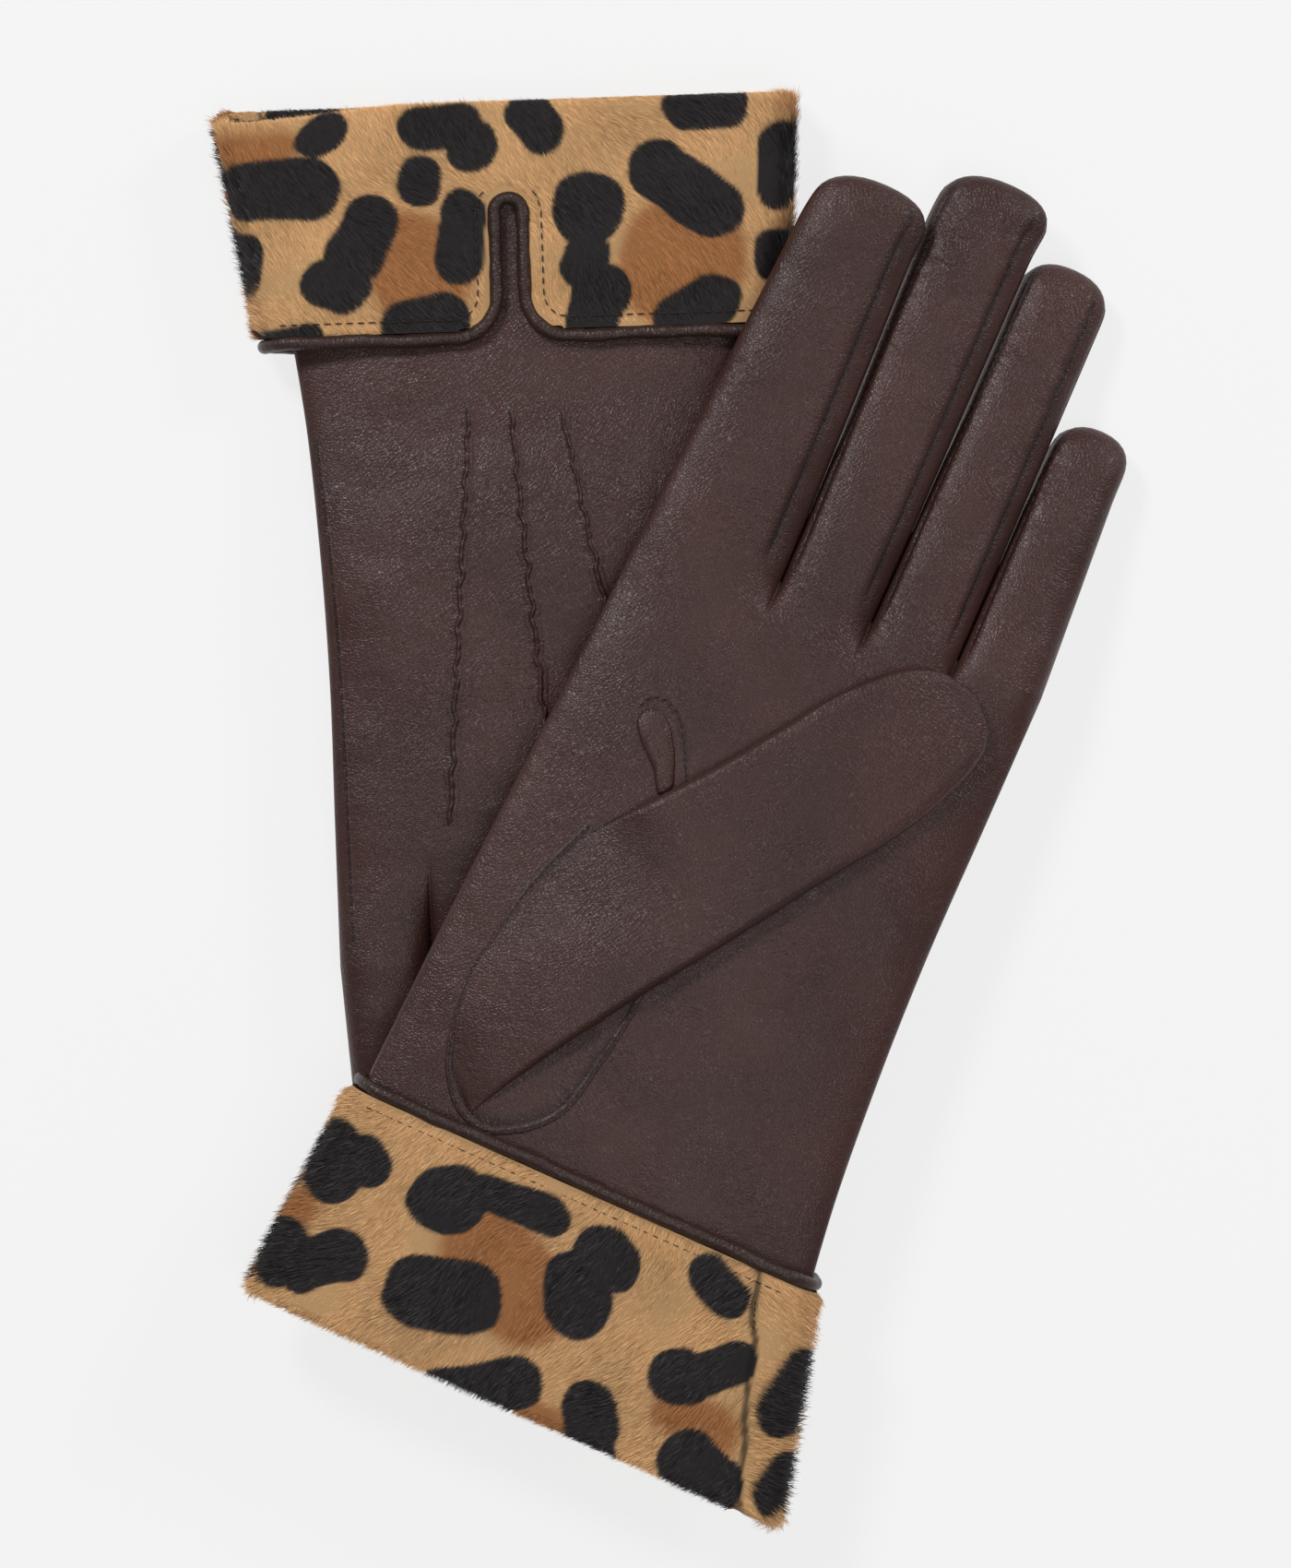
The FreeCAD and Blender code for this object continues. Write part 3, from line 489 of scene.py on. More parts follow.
def leather(name, base, seams=True):
    """Soft glove leather: fine grain, short creases across the hand with painted shade in their hollows,
    worn tone, and darker seams that also hold painted shadow beside the tucks.
    """
    n = Nodes(name)
    uv = n.add("ShaderNodeTexCoord").outputs["UV"]
    stretched = n.add("ShaderNodeMapping", Vector=uv)
    stretched.inputs["Scale"].default_value = (0.45, 1.0, 1.0)
    voronoi = n.add("ShaderNodeTexVoronoi", Vector=uv, Scale=150.0)
    voronoi.feature = "DISTANCE_TO_EDGE"
    grain = n.ramp(voronoi.outputs["Distance"], 0.0, 0.22)
    light, deep, dark, seam_and_shadow_dark = ((*[c * k for c in base], 1) for k in (1.16, 0.80, 0.45, 0.16))
    pores = n.noise(uv, 260.0, 2.0)
    warp = n.noise(stretched.outputs[0], 44.0, 3.0, 0.55)
    creases = n.ramp(n.maths("ABSOLUTE", n.maths("SUBTRACT", warp, 0.5)), 0.0, 0.03)
    where = n.ramp(n.noise(uv, 5.5, 2.0), 0.40, 0.80)
    soft = n.noise(uv, 7.0, 3.0)
    fine = n.bump(grain, 0.24, 0.0003)
    fine = n.bump(pores, 0.2, 0.0002, fine)
    creased = n.maths("MULTIPLY", n.maths("SUBTRACT", 1.0, creases), where)
    fine = n.bump(n.maths("MULTIPLY", creased, -1.0), 0.42, 0.0004, fine)
    normal = n.bump(soft, 0.6, 0.0014, fine)
    tone = n.noise(uv, 3.2, 4.0)
    colour = n.mix(n.ramp(tone, 0.3, 0.72), deep, light)
    # Painted shade: the colour is darkened a little in the hollows of the creases.
    colour = n.mix(n.maths("MULTIPLY", creased, 0.12), colour, dark)
    # The seam attribute darkens the seams and paints the shadow beside the tucks.
    if seams:
        seam = n.add("ShaderNodeAttribute")
        seam.attribute_name = "seam"
        colour = n.mix(n.maths("MULTIPLY", seam.outputs["Fac"], 0.8, True), colour, seam_and_shadow_dark)
    n.put(n.bsdf, "Base Color", colour)
    rough = n.maths("ADD", n.maths("MULTIPLY", n.noise(uv, 12.0, 3.0), 0.22), 0.27)
    n.put(n.bsdf, "Roughness", rough)
    n.put(n.bsdf, "Specular IOR Level", 0.42)
    n.put(n.bsdf, "Sheen Weight", 0.03)
    n.put(n.bsdf, "Sheen Roughness", 0.4)
    n.put(n.bsdf, "Sheen Tint", (0.8, 0.55, 0.48, 1))
    n.put(n.bsdf, "Normal", normal)
    return n.material


def hair(name, shade, rough):
    """Hide and hair, coloured by the print and the painted shade stored on the mesh, and mixed towards black
    by shade: painted shade, used on the hide under the hair.
    """
    n = Nodes(name)
    attribute = n.add("ShaderNodeAttribute")
    attribute.attribute_name = "Hair"
    # Painted shade: the colour is mixed towards black by shade.
    n.put(n.bsdf, "Base Color", n.mix(shade, attribute.outputs["Color"], (0.0, 0.0, 0.0, 1)))
    n.put(n.bsdf, "Roughness", rough)
    n.put(n.bsdf, "Specular IOR Level", 0.35)
    return n.material


def plain(name, colour, rough):
    n = Nodes(name)
    n.put(n.bsdf, "Base Color", (*colour, 1))
    n.put(n.bsdf, "Roughness", rough)
    return n.material


def knit(name, colour):
    """The lining's fine ribbed knit, with painted shade in the hollows between the ribs."""
    n = Nodes(name)
    uv = n.add("ShaderNodeTexCoord").outputs["UV"]
    rib = n.add("ShaderNodeTexWave", Vector=uv, Scale=40.0, Distortion=1.5)
    # Painted shade: the colour drops to 0.6 where the ribs' bump is low.
    n.put(n.bsdf, "Base Color", n.mix(rib.outputs["Fac"], (*[c * 0.6 for c in colour], 1), (*colour, 1)))
    n.put(n.bsdf, "Roughness", 0.85)
    n.put(n.bsdf, "Normal", n.bump(rib.outputs["Fac"], 0.5, 0.0003))
    return n.material


def make_materials():
    return {
        "leather": leather("glove_leather", (0.051, 0.0195, 0.0155)),
        "binding": leather("binding_leather", (0.034, 0.0145, 0.0105), seams=False),
        # The hide under the hair is mixed 0.35 towards black: painted shade among the hairs.
        "hide": hair("printed_hide", 0.35, 0.8),
        "hair": hair("printed_hair", 0.0, 0.5),
        "thread": plain("thread", (0.018, 0.010, 0.008), 0.6),
        "lining": knit("lining_knit", (0.075, 0.045, 0.036)),
    }


# One glove


class Glove:
    """The shape of one glove and the pieces made from it."""

    def __init__(self, name, materials):
        self.name = name
        self.x, self.y, self.lift, self.turn, self.side = PLACES[name]
        self.materials = materials
        self.rise_column = 4 if name == "left" else 5
        self.edge, self.edge_centre = CUFF_EDGE[name], CUFF_CENTRE[name]
        self.seed = 3 if name == "left" else 11

    # The frame

    def world(self, points):
        """Local points as points in the row frame, both in millimetres."""
        points = np.asarray(points, float)
        c, s = math.cos(math.radians(self.turn)), math.sin(math.radians(self.turn))
        x = self.x + points[..., 0] * c - points[..., 1] * s
        y = self.y + points[..., 0] * s + points[..., 1] * c
        return np.stack([x, y, points[..., 2] + self.lift], axis=-1)

    def metres(self, u, v, w=0.0):
        return tuple(float(x) for x in self.world((u, v, w)) * MM)

    def label(self, piece):
        return f"{self.name}_{piece}_skin"

    def stands_for(self, thing, slot, *nodes):
        """Hides the CAD nodes that a piece replaces."""
        if nodes:
            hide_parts(*[f"{self.name}_{node}" for node in nodes])

    def on_hand(self, thing, slot, *nodes):
        """Fixes a piece to the hand."""
        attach(thing, f"{self.name}_hand")
        self.stands_for(thing, slot, *nodes)

    def leather_grid(self, piece, points, uv, **options):
        flip = self.side < 0
        return grid_object(
            self.label(piece), self.world(points), self.materials["leather"], uv, flip=flip, **options
        )

    def lining_grid(self, piece, points, uv, flip):
        name = f"{self.name}_{piece}_lining_knit"
        return grid_object(name, self.world(points), self.materials["lining"], uv, True, flip=flip)

    # The hand's surface

    def hand_at(self, v):
        """Centre, half width, half thickness, height and tilt of the hand at v."""
        columns = [curve(v, HAND[:, 0], HAND[:, k]) for k in (1, 2, 3, self.rise_column, 6)]
        if self.name == "right":
            columns[4] = columns[4] * 0.0
        return columns

    def swell(self, u, v):
        """Small lumps and hollows of the soft leather, in millimetres."""
        return 0.30 * waves(u, v, 34.0, self.seed) + 0.11 * waves(u, v, 9.0, self.seed + 1, 2.2)

    def hand_skin(self, u, v, face, inset=0.0):
        """Height of the palm (face 1) or the back (face -1) of the hand at points u, v."""
        u, v = np.broadcast_arrays(np.asarray(u, float), np.asarray(v, float))
        centre, half, thick, rise, tilt = self.hand_at(v)
        half, thick = half - inset, thick - inset
        q = np.clip((u - centre) / half, -1, 1)
        plump = thick * np.sqrt(np.clip(1 - np.abs(q) ** HAND_SQUARE, 0, None))
        middle = rise - (u - centre) * np.sin(np.radians(tilt))
        lobes = np.zeros(u.shape)
        at_knuckles = HAND[-1, 1] + (HAND[-1, 2] - inset) * q
        for finger in FINGERS:
            x = (at_knuckles - FINGER[finger][0]) / (FINGER[finger][1] - inset)
            lobe = (FINGER_THICK - inset) * np.sqrt(np.clip(1 - np.abs(x) ** FINGER_SQUARE, 0, None))
            lobes = np.maximum(lobes, lobe)
        blend = smoothstep(VALLEY_START[face], KNUCKLES, v) ** VALLEY_POWER[face]
        calm = smoothstep(0.0, 0.25, 1 - np.abs(q)) * smoothstep(40, 60, v) * (1 - blend)
        offset = plump * (1 - blend) + lobes * blend
        if not inset:
            offset = offset + calm * self.swell(u, v + BACK_SHIFT * (face < 0))
        return middle + self.side * face * offset

    def hand_columns(self, inset=0.0):
        """Places across the knuckles, from the index finger's edge to the little finger's."""
        steps = -np.cos(np.linspace(0, math.pi, FINGER_COLUMNS + 1))
        return np.concatenate([FINGER[f][0] + (FINGER[f][1] - inset) * steps for f in FINGERS])

    def hand_points(self, inset=0.0, start=2.0, spacing=1.6):
        """Rings round the hand: the palm from index to little finger, then the back."""
        across = self.hand_columns(inset)
        q = (across - HAND[-1, 1]) / (HAND[-1, 2] - inset)
        v = np.linspace(start, KNUCKLES, int((KNUCKLES - start) / spacing))[:, None]
        centre, half, _, _, _ = self.hand_at(v)
        u = centre + (half - inset) * q[None, :]
        palm = np.stack([u, v + 0 * u, self.hand_skin(u, v, 1, inset)], -1)
        back = np.stack([u, v + 0 * u, self.hand_skin(u, v, -1, inset)], -1)[:, ::-1][:, 1:-1]
        points = np.concatenate([palm, back], axis=1)
        uv = points[..., :2].copy()
        uv[:, palm.shape[1]:, 0] += UV_SHIFT
        return points, uv

    def hand(self):
        points, uv = self.hand_points()
        skin = self.leather_grid("hand", points, uv, wrap=True, dark=0.0)
        self.on_hand(skin, "glove_leather", "hand_leather")
        points, uv = self.hand_points(inset=LINING_INSET, start=9.0, spacing=4.0)
        self.on_hand(self.lining_grid("hand", points, uv, self.side < 0), "lining", "hand_lining")

    # The fingers

    def finger_points(self, finger, inset=0.0, spacing=1.0):
        """Rings round a finger, and how much each point belongs to a seam."""
        c0, a0, c1, a1, tip = FINGER[finger][:5]
        z0, z1 = FINGER[finger][5:7] if self.name == "left" else FINGER[finger][7:9]
        tilt = 5.0 if self.name == "left" else 0.0
        tip -= 1.5 * inset
        steps = np.linspace(0, 1, int((tip - KNUCKLES) / spacing))
        share = np.where(steps < 0.85, steps, 0.85 + 0.15 * np.sin((steps - 0.85) / 0.15 * math.pi / 2))
        v = (KNUCKLES + (tip - KNUCKLES) * share)[:, None]
        t = (v - KNUCKLES) / (tip - KNUCKLES)
        ending = 8.0
        x = np.clip((v - (tip - ending)) / ending, 0, 1)
        wide = (1 - 0.999 * x**2.8) ** (1 / 2.3)
        thin = (1 - 0.999 * x**2.2) ** (1 / 2.0)
        half = (a0 + (a1 - a0) * t - inset) * wide
        thick = (FINGER_THICK - inset) * thin * (1 - 0.10 * t)
        lean = np.clip((v - (tip - 13.0)) / 13.0, 0, 1) ** 1.6 * TIP_LEAN[finger]
        centre = c0 + (c1 - c0) * t + lean
        rise = z0 + (z1 - z0) * t
        angle = np.linspace(0, 2 * math.pi, 2 * FINGER_COLUMNS, endpoint=False)[None, :]
        q = -np.cos(angle)
        face = np.where(angle < math.pi, 1.0, -1.0)
        u = centre + half * q
        lift = thick * np.sqrt(np.clip(1 - np.abs(q) ** FINGER_SQUARE, 0, None))
        dark = np.zeros(u.shape)
        if not inset:
            tapered = 1 - smoothstep(*TIP_TAPER, t)
            fade = smoothstep(0.0, 0.10, t) * tapered
            inner = 1 - np.abs(q)
            lift = lift + fade * smoothstep(0, 0.4, inner) * 0.22 * waves(u, v, 14.0, self.seed + 5, 2.0)
            u = u + self.lip(finger, q, half, face) * tapered
            creased = smoothstep(0.6, 0.78, t) * (1 - smoothstep(0.93, 0.99, t)) * smoothstep(0, 0.5, inner)
            wrinkle = np.abs(waves(u, v, 7.0, self.seed + 9, 1.7))
            lift = lift - creased * CREASES[finger] * np.exp(-((wrinkle / 0.16) ** 2))
            firm = (fade * np.minimum(1, thick / 2))[:, 0]
            self.sew_finger(finger, lift, dark, firm, v[:, 0])
        middle = rise - (u - centre) * math.sin(math.radians(tilt)) * (1 - t)
        w = middle + self.side * face * lift
        points = np.stack([u, v + 0 * u, w], -1)
        uv = np.stack([u + np.where(face > 0, 0, UV_SHIFT), v + 0 * u], -1)
        return points, uv, dark, v[:, 0]

    def sew_finger(self, finger, lift, dark, firm, v):
        """Sinks and darkens a finger's surface along its seams, beside the side strips."""
        columns = lift.shape[1]
        pucker = 1 + 0.2 * np.sin(v * 2 * math.pi / 2.4)
        for column, sign in self.seam_columns(finger):
            lift[:, column] -= 0.62 * firm * pucker
            lift[:, (column + sign) % columns] += 0.16 * firm
            dark[:, column] = firm
            for step, drop in enumerate((0.42, 0.5, 0.4, 0.25), start=1):
                lift[:, (column - sign * step) % columns] -= drop * firm
                dark[:, (column - sign * step) % columns] = 0.16 * firm

    def lip(self, finger, q, half, face):
        """How far a finger's lower side strips bulge out, which narrows the slits between fingers."""
        out = np.zeros(np.broadcast(q, half).shape)
        for direction in NEIGHBOURS[finger]:
            x = q * direction
            band = smoothstep(0.60, 0.80, x) * (1 - smoothstep(0.93, 0.995, x)) * (face * self.side < 0)
            out = out + direction * (half * (1 - x) + LIP[self.name]) * band
        return out

    def seam_columns(self, finger):
        """Columns of the seams beside the side strips, with the way towards the finger's middle."""
        n, half = 2 * FINGER_COLUMNS, FINGER_COLUMNS
        found = []
        for direction in NEIGHBOURS[finger]:
            k = SEAM_COLUMN[direction]
            found += [(k, 1), (n - k, -1)] if direction < 0 else [(half - k, -1), (half + k, 1)]
        return found

    def side_cells(self, direction, rows, v, tip):
        """The cells of a finger's grid that belong to the side strip facing direction."""
        n = 2 * FINGER_COLUMNS
        cells = np.zeros((rows - 1, n), bool)
        reach = SEAM_COLUMN[direction]
        columns = np.arange(-reach, reach) + (0 if direction < 0 else FINGER_COLUMNS)
        cells[:, columns % n] = True
        cells[v[:-1] > tip - FOURCHETTE_STOP] = False
        return cells

    def bend(self, thing, finger, reach=17.0):
        """Bakes a finger's piece's placement into its mesh. The points between the hand and the finger where
        it would bend are worked out but not used.
        """
        centre = FINGER[finger][0]
        start = self.metres(centre, KNUCKLES - 0.5)
        self.metres(centre, KNUCKLES + reach)
        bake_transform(thing)

    def finger(self, finger):
        points, uv, dark, v = self.finger_points(finger)
        taken = np.zeros((len(v) - 1, 2 * FINGER_COLUMNS), bool)
        for direction in NEIGHBOURS[finger]:
            facing = FINGERS[FINGERS.index(finger) + direction]
            cells = self.side_cells(direction, len(v), v, FINGER[finger][4])
            taken |= cells
            node = f"{finger}_fourchette_facing_{facing}"
            strip = self.leather_grid(node, points, uv, wrap=True, mask=cells, dark=dark)
            self.bend(strip, finger)
            self.stands_for(strip, "glove_leather", node)
        sheath = self.leather_grid(finger, points, uv, wrap=True, mask=~taken, dark=dark)
        self.finger_thread(finger, self.world(points))
        self.bend(sheath, finger)
        self.stands_for(sheath, "glove_leather", f"{finger}_leather")
        points, uv, _, _ = self.finger_points(finger, inset=LINING_INSET, spacing=3.0)
        lining = self.lining_grid(finger, points, uv, self.side < 0)
        self.bend(lining, finger)
        self.stands_for(lining, "lining", f"{finger}_lining")

    def finger_thread(self, finger, placed):
        """The small stitches along a finger's seams, over both faces."""
        starts, ends = [], []
        face_up = np.array((0.0, 0.0, self.side * 0.10))
        for column, _ in self.seam_columns(finger):
            side = 1 if column < FINGER_COLUMNS else -1
            for row in range(8, len(placed) - 14, 2):
                starts.append(placed[row, column] + face_up * side)
                ends.append(placed[row + 1, column] + face_up * side)
        thread = stitch_object(self.label(f"{finger}_thread"), starts, ends, 0.13, self.materials["thread"])
        self.bend(thread, finger)
        self.stands_for(thread, "glove_leather")

    # The thumb and what is set into the palm

    def palm_rest(self, u, v):
        """Height of the palm as a piece lying on it sees it, with less droop at the edges."""
        centre, half, thick, rise, tilt = self.hand_at(v)
        q2 = np.clip(((u - centre) / half) ** 2, 0, 1.15)
        middle = rise - (u - centre) * np.sin(np.radians(tilt))
        return middle + self.side * thick * np.sqrt(np.clip(1 - 0.78 * q2, 0.05, None))

    def thumb_points(self, inset=0.0):
        """Rings round the thumb: the side that shows, then the side on the palm."""
        count = 44
        tip = np.linspace(118, THUMB_END, 18)
        s = np.concatenate([np.linspace(-0.5, 9, 18), np.linspace(10, 117, 92), tip])
        if inset:
            s = np.linspace(6, 127 - 2 * inset, 50)
        s = s[:, None]
        angle = np.linspace(0, 2 * math.pi, 2 * count, endpoint=False)[None, :]
        x = (1 - np.cos(angle)) / 2
        top = angle < math.pi
        sewn = 1 - smoothstep(*THUMB_SEWN, s)
        lower = table(s, THUMB_LOWER) + inset
        upper = table(s, THUMB_UPPER) - inset - THUMB_DRAWN_IN * sewn
        t = lower + (upper - lower) * x
        u = THUMB_CORNER[0] + s * THUMB_ALONG[0] + t * THUMB_ACROSS[0]
        v = THUMB_CORNER[1] + s * THUMB_ALONG[1] + t * THUMB_ACROSS[1]
        height = table(s, THUMB_HEIGHT)
        full = height * ((1 - sewn) + sewn * (1 - x**1.8)) + 0.2 * sewn
        middle = 0.3 + (full - 0.3) * 0.42
        edge = np.minimum(t - lower, upper - t)
        shape = rounded(t - lower, 1.9) * rounded(upper - t, 1.7 - 0.9 * sewn)
        lift = np.where(top, middle + (full - middle) * shape, middle - (middle - 0.3) * shape)
        if inset:
            lift = middle + (lift - middle) * 0.6
        else:
            lift = lift + np.where(top, 0.16, 0.05) * shape * waves(u, v, 19.0, self.seed + 21, 1.4)
            groove = np.exp(-(((edge - 1.5) / 0.45) ** 2)) * smoothstep(70, 100, s) * top
            lift = lift - 0.22 * groove
        w = self.palm_rest(u, v) + self.side * lift
        uv = np.stack([s + 0 * t, t + np.where(top, 400, 500)], -1)
        return np.stack([u, v, w], -1), uv, sewn * (1 - smoothstep(0.0, 0.9, upper - t))

    def thumb(self):
        """The thumb's rings run the other way round from the hand's, so its faces turn over."""
        points, uv, dark = self.thumb_points()
        skin = grid_object(
            self.label("thumb"), self.world(points), self.materials["leather"], uv, True, flip=self.side > 0,
            dark=dark,
        )
        self.bend_thumb(skin)
        self.stands_for(skin, "glove_leather", "thumb_leather", "thumb_root")
        points, uv, _ = self.thumb_points(inset=1.1)
        lining = self.lining_grid("thumb", points, uv, self.side > 0)
        self.bend_thumb(lining)
        self.stands_for(lining, "lining", "thumb_lining")

    def bend_thumb(self, thing):
        """Bakes a piece of the thumb's placement into its mesh. The ends of its turning line are worked out
        but not used.
        """
        middle = HINGE[0] + 30 * HINGE[1]
        off = np.array((HINGE[1][1], -HINGE[1][0]))
        start, end = middle - 7.5 * off, middle + 8.0 * off
        self.metres(*start)
        self.metres(*end)
        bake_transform(thing)

    def patch(self, node, outline, dome):
        """A small piece of leather set into the palm, inside a closed outline."""
        edge = path_points(outline, 1.2, closed=True)[:-1]
        middle = edge.mean(axis=0)
        r = np.array((0.02, 0.15, 0.3, 0.45, 0.6, 0.75, 0.86, 0.94, 1.0))[:, None]
        flat = middle + (edge[None] - middle) * r[..., None]
        height = dome * (1 - r**4) + 0.12 - 0.35 * (r > 0.99)
        w = self.hand_skin(flat[..., 0], flat[..., 1], 1) + self.side * height
        points = np.concatenate([flat, w[..., None]], -1)
        area = np.sum(edge[:, 0] * np.roll(edge[:, 1], -1) - edge[:, 1] * np.roll(edge[:, 0], -1))
        piece = grid_object(
            self.label(node), self.world(points), self.materials["leather"], flat + (0, 30), True,
            flip=(area > 0) == (self.side > 0), dark=np.where(r > 0.9, 0.7, 0.0),
        )
        self.on_hand(piece, "glove_leather", node)

    # Seams

    def seam_strip(self, label, path, face, profile, pucker=0.25, nodes=()):
        """A seam raised on the hand: profile gives rows of offset across, height and darkness, which for the
        tucks is painted shadow beside the ridge.
        """
        offsets, heights, dark = (np.array(row) for row in zip(*profile))
        flat = path[:, None] + path_across(path)[:, None] * offsets[None, :, None]
        steps = np.arange(len(path)) * np.linalg.norm(path[1] - path[0])
        beat = 1 + pucker * np.sin(2 * math.pi * steps / 2.5)[:, None]
        ends = np.minimum(1, np.minimum(steps, steps[-1] - steps) / 2.5)[:, None]
        height = np.where(heights > 0, heights * beat * ends, heights)
        w = self.hand_skin(flat[..., 0], flat[..., 1], face) + self.side * face * height
        points = np.concatenate([flat, w[..., None]], -1)
        uv = flat + (UV_SHIFT * (face < 0), 0)
        strip = grid_object(
            self.label(label), self.world(points), self.materials["leather"], uv,
            flip=(self.side * face < 0), dark=dark[None, :],
        )
        self.on_hand(strip, "glove_leather", *nodes)

    def hand_stitches(self, label, path, face, length, gap, height, radius=0.16, offset=0.0):
        """A row of thread stitches along a path on the hand."""
        step = np.linalg.norm(path[1] - path[0])
        path = path + path_across(path) * offset
        every, long = max(1, round((length + gap) / step)), max(1, round(length / step))
        first = np.arange(1, len(path) - long, every)
        ends = []
        for index in (first, first + long):
            w = self.hand_skin(path[index, 0], path[index, 1], face) + self.side * face * height
            ends.append(self.world(np.concatenate([path[index], w[:, None]], -1)))
        thread = stitch_object(self.label(label), *ends, radius, self.materials["thread"])
        self.on_hand(thread, "glove_leather")

    def seams(self):
        """The thumb's oval seam, the side seam on the back, the quirk's seam and the tucks."""
        oval = path_points(OVAL, 0.4)
        raised = [(offset, height + 0.16 * (height > 0), dark) for offset, height, dark in FLAT_SEAM]
        self.seam_strip("thumb_seam", oval, 1, raised, 0.15)
        self.hand_stitches("thumb_seam_thread", oval, 1, 0.8, 0.7, 0.28, 0.13)
        v = np.array((66.0, 84.0, 104.0, 126.0, 148.0, 166.0))
        centre, half, _, _, _ = self.hand_at(v)
        side = path_points(np.stack([centre + half - np.linspace(1.7, 2.9, len(v)), v], -1), 0.4)
        self.seam_strip("side_seam", side, -1, FLAT_SEAM)
        quirk = path_points(QUIRK_SEAM, 0.4)
        self.seam_strip("quirk_seam", quirk, 1, FLAT_SEAM)
        self.hand_stitches("quirk_seam_thread", quirk, 1, 0.9, 0.7, 0.3, 0.13)
        self.points()

    def points(self):
        """The three wavy tucks on the back, with their stitches."""
        for k, (u0, v0, u1, v1) in enumerate(POINTS):
            t = np.linspace(0, 1, 230)
            v = v0 + (v1 - v0) * t
            sway = 0.30 * np.sin(v * 2 * math.pi / 7.3 + k) + 0.16 * np.sin(v * 2 * math.pi / 4.1 + 2 * k)
            path = np.stack([u0 + (u1 - u0) * t + sway * np.sin(math.pi * t) ** 0.3, v], -1)
            nodes = ("back_points",) if k == 0 else ()
            self.seam_strip(f"point_{k + 1}", path, -1, TUCK, pucker=0.22, nodes=nodes)
            self.hand_stitches(f"point_{k + 1}_thread", path, -1, 1.0, 1.8, 0.5, 0.11, 0.34)

    # The cuff, in a frame of its own: y from the fold to the bound edge, z 0 in the middle

    def cuff_to_local(self, u, y, z):
        slope = self.cuff_slope()
        middle = HAND[0, self.rise_column] - HAND[0, 0] * math.tan(slope)
        if self.name == "right":
            open_here = smoothstep(16, 52, u) * (1 - smoothstep(0, 26, y)) * smoothstep(-4, 4, z)
            y = y + MOUTH_DIP * open_here
        v = y * math.cos(slope) - z * math.sin(slope)
        return np.stack([u, v, middle + y * math.sin(slope) + z * math.cos(slope)], -1)

    def cuff_turned(self, directions):
        """Directions in the cuff's frame as directions in the glove's frame."""
        slope = self.cuff_slope()
        c, s = math.cos(slope), math.sin(slope)
        x, y, z = directions[:, 0], directions[:, 1], directions[:, 2]
        return np.stack([x, y * c - z * s, y * s + z * c], -1)

    def cuff_slope(self):
        rises = HAND[:2, self.rise_column]
        return math.atan2(rises[1] - rises[0], HAND[1, 0] - HAND[0, 0])

    def around(self, y, radius, share):
        """Points of the flattened tube at y: u, z, the outward normal, and the face each is on."""
        half = CUFF_FOLD + (self.edge - CUFF_FOLD) * y / CUFF_LENGTH - (CUFF_RADIUS - radius)
        centre = self.edge_centre * y / CUFF_LENGTH
        flat, arc = 2 * (half - radius), math.pi * radius
        at = share * (2 * flat + 2 * arc)
        on_top, on_right = at < flat, (at >= flat) & (at < flat + arc)
        under = (at >= flat + arc) & (at < 2 * flat + arc)
        turn = np.where(
            on_top, math.pi / 2,
            np.where(on_right, math.pi / 2 - (at - flat) / radius,
                     np.where(under, -math.pi / 2, -math.pi / 2 - (at - 2 * flat - arc) / radius)),
        )
        straight = np.where(
            on_top, at - flat / 2,
            np.where(on_right, flat / 2, np.where(under, flat / 2 - (at - flat - arc), -flat / 2)),
        )
        u = centre + straight + radius * np.cos(turn)
        z = radius * np.sin(turn)
        face = np.where(z >= 0, 1, -1) * self.side
        return u, z, np.cos(turn), np.sin(turn), face

    def cuff_profile(self, along):
        """Where the hide is at a distance along it from the bound edge: y, radius and how far it turns."""
        turn_radius = (CUFF_RADIUS - HIDE_DEPTH - TURN_IN_RADIUS) / 2
        straight = CUFF_LENGTH - turn_radius
        turned = math.pi * turn_radius
        t = np.clip((along - straight) / turned, 0, 1) * math.pi
        y = np.where(along < straight, CUFF_LENGTH - along, turn_radius * (1 - np.sin(t)))
        radius = TURN_IN_RADIUS + turn_radius * (1 + np.cos(t))
        past = along > straight + turned
        y = np.where(past, turn_radius + along - straight - turned, y)
        return y, np.where(along < straight, CUFF_RADIUS - HIDE_DEPTH, radius), t

    def vent_gap(self, u, y):
        """How far outside the vent a point is, in millimetres; below 0 inside it."""
        end = VENT_END + VENT_HALF
        shoulder = CUFF_LENGTH - VENT_CORNER
        past = np.clip(y - shoulder, 0, None)
        flare = VENT_HALF + VENT_CORNER - np.sqrt(np.clip(VENT_CORNER**2 - past**2, 0, None))
        side = np.abs(u) - np.where(y > shoulder, flare, VENT_HALF)
        return np.where(y < end, np.hypot(u, y - end) - VENT_HALF, side)

    def seam_offset(self, u, y):
        """How far a point lies beyond the cuff's seam, towards the little finger."""
        start, end = np.array(CUFF_SEAM)
        line = (end - start) / np.linalg.norm(end - start)
        return (start[1] - y) * line[0] - (start[0] - u) * line[1]

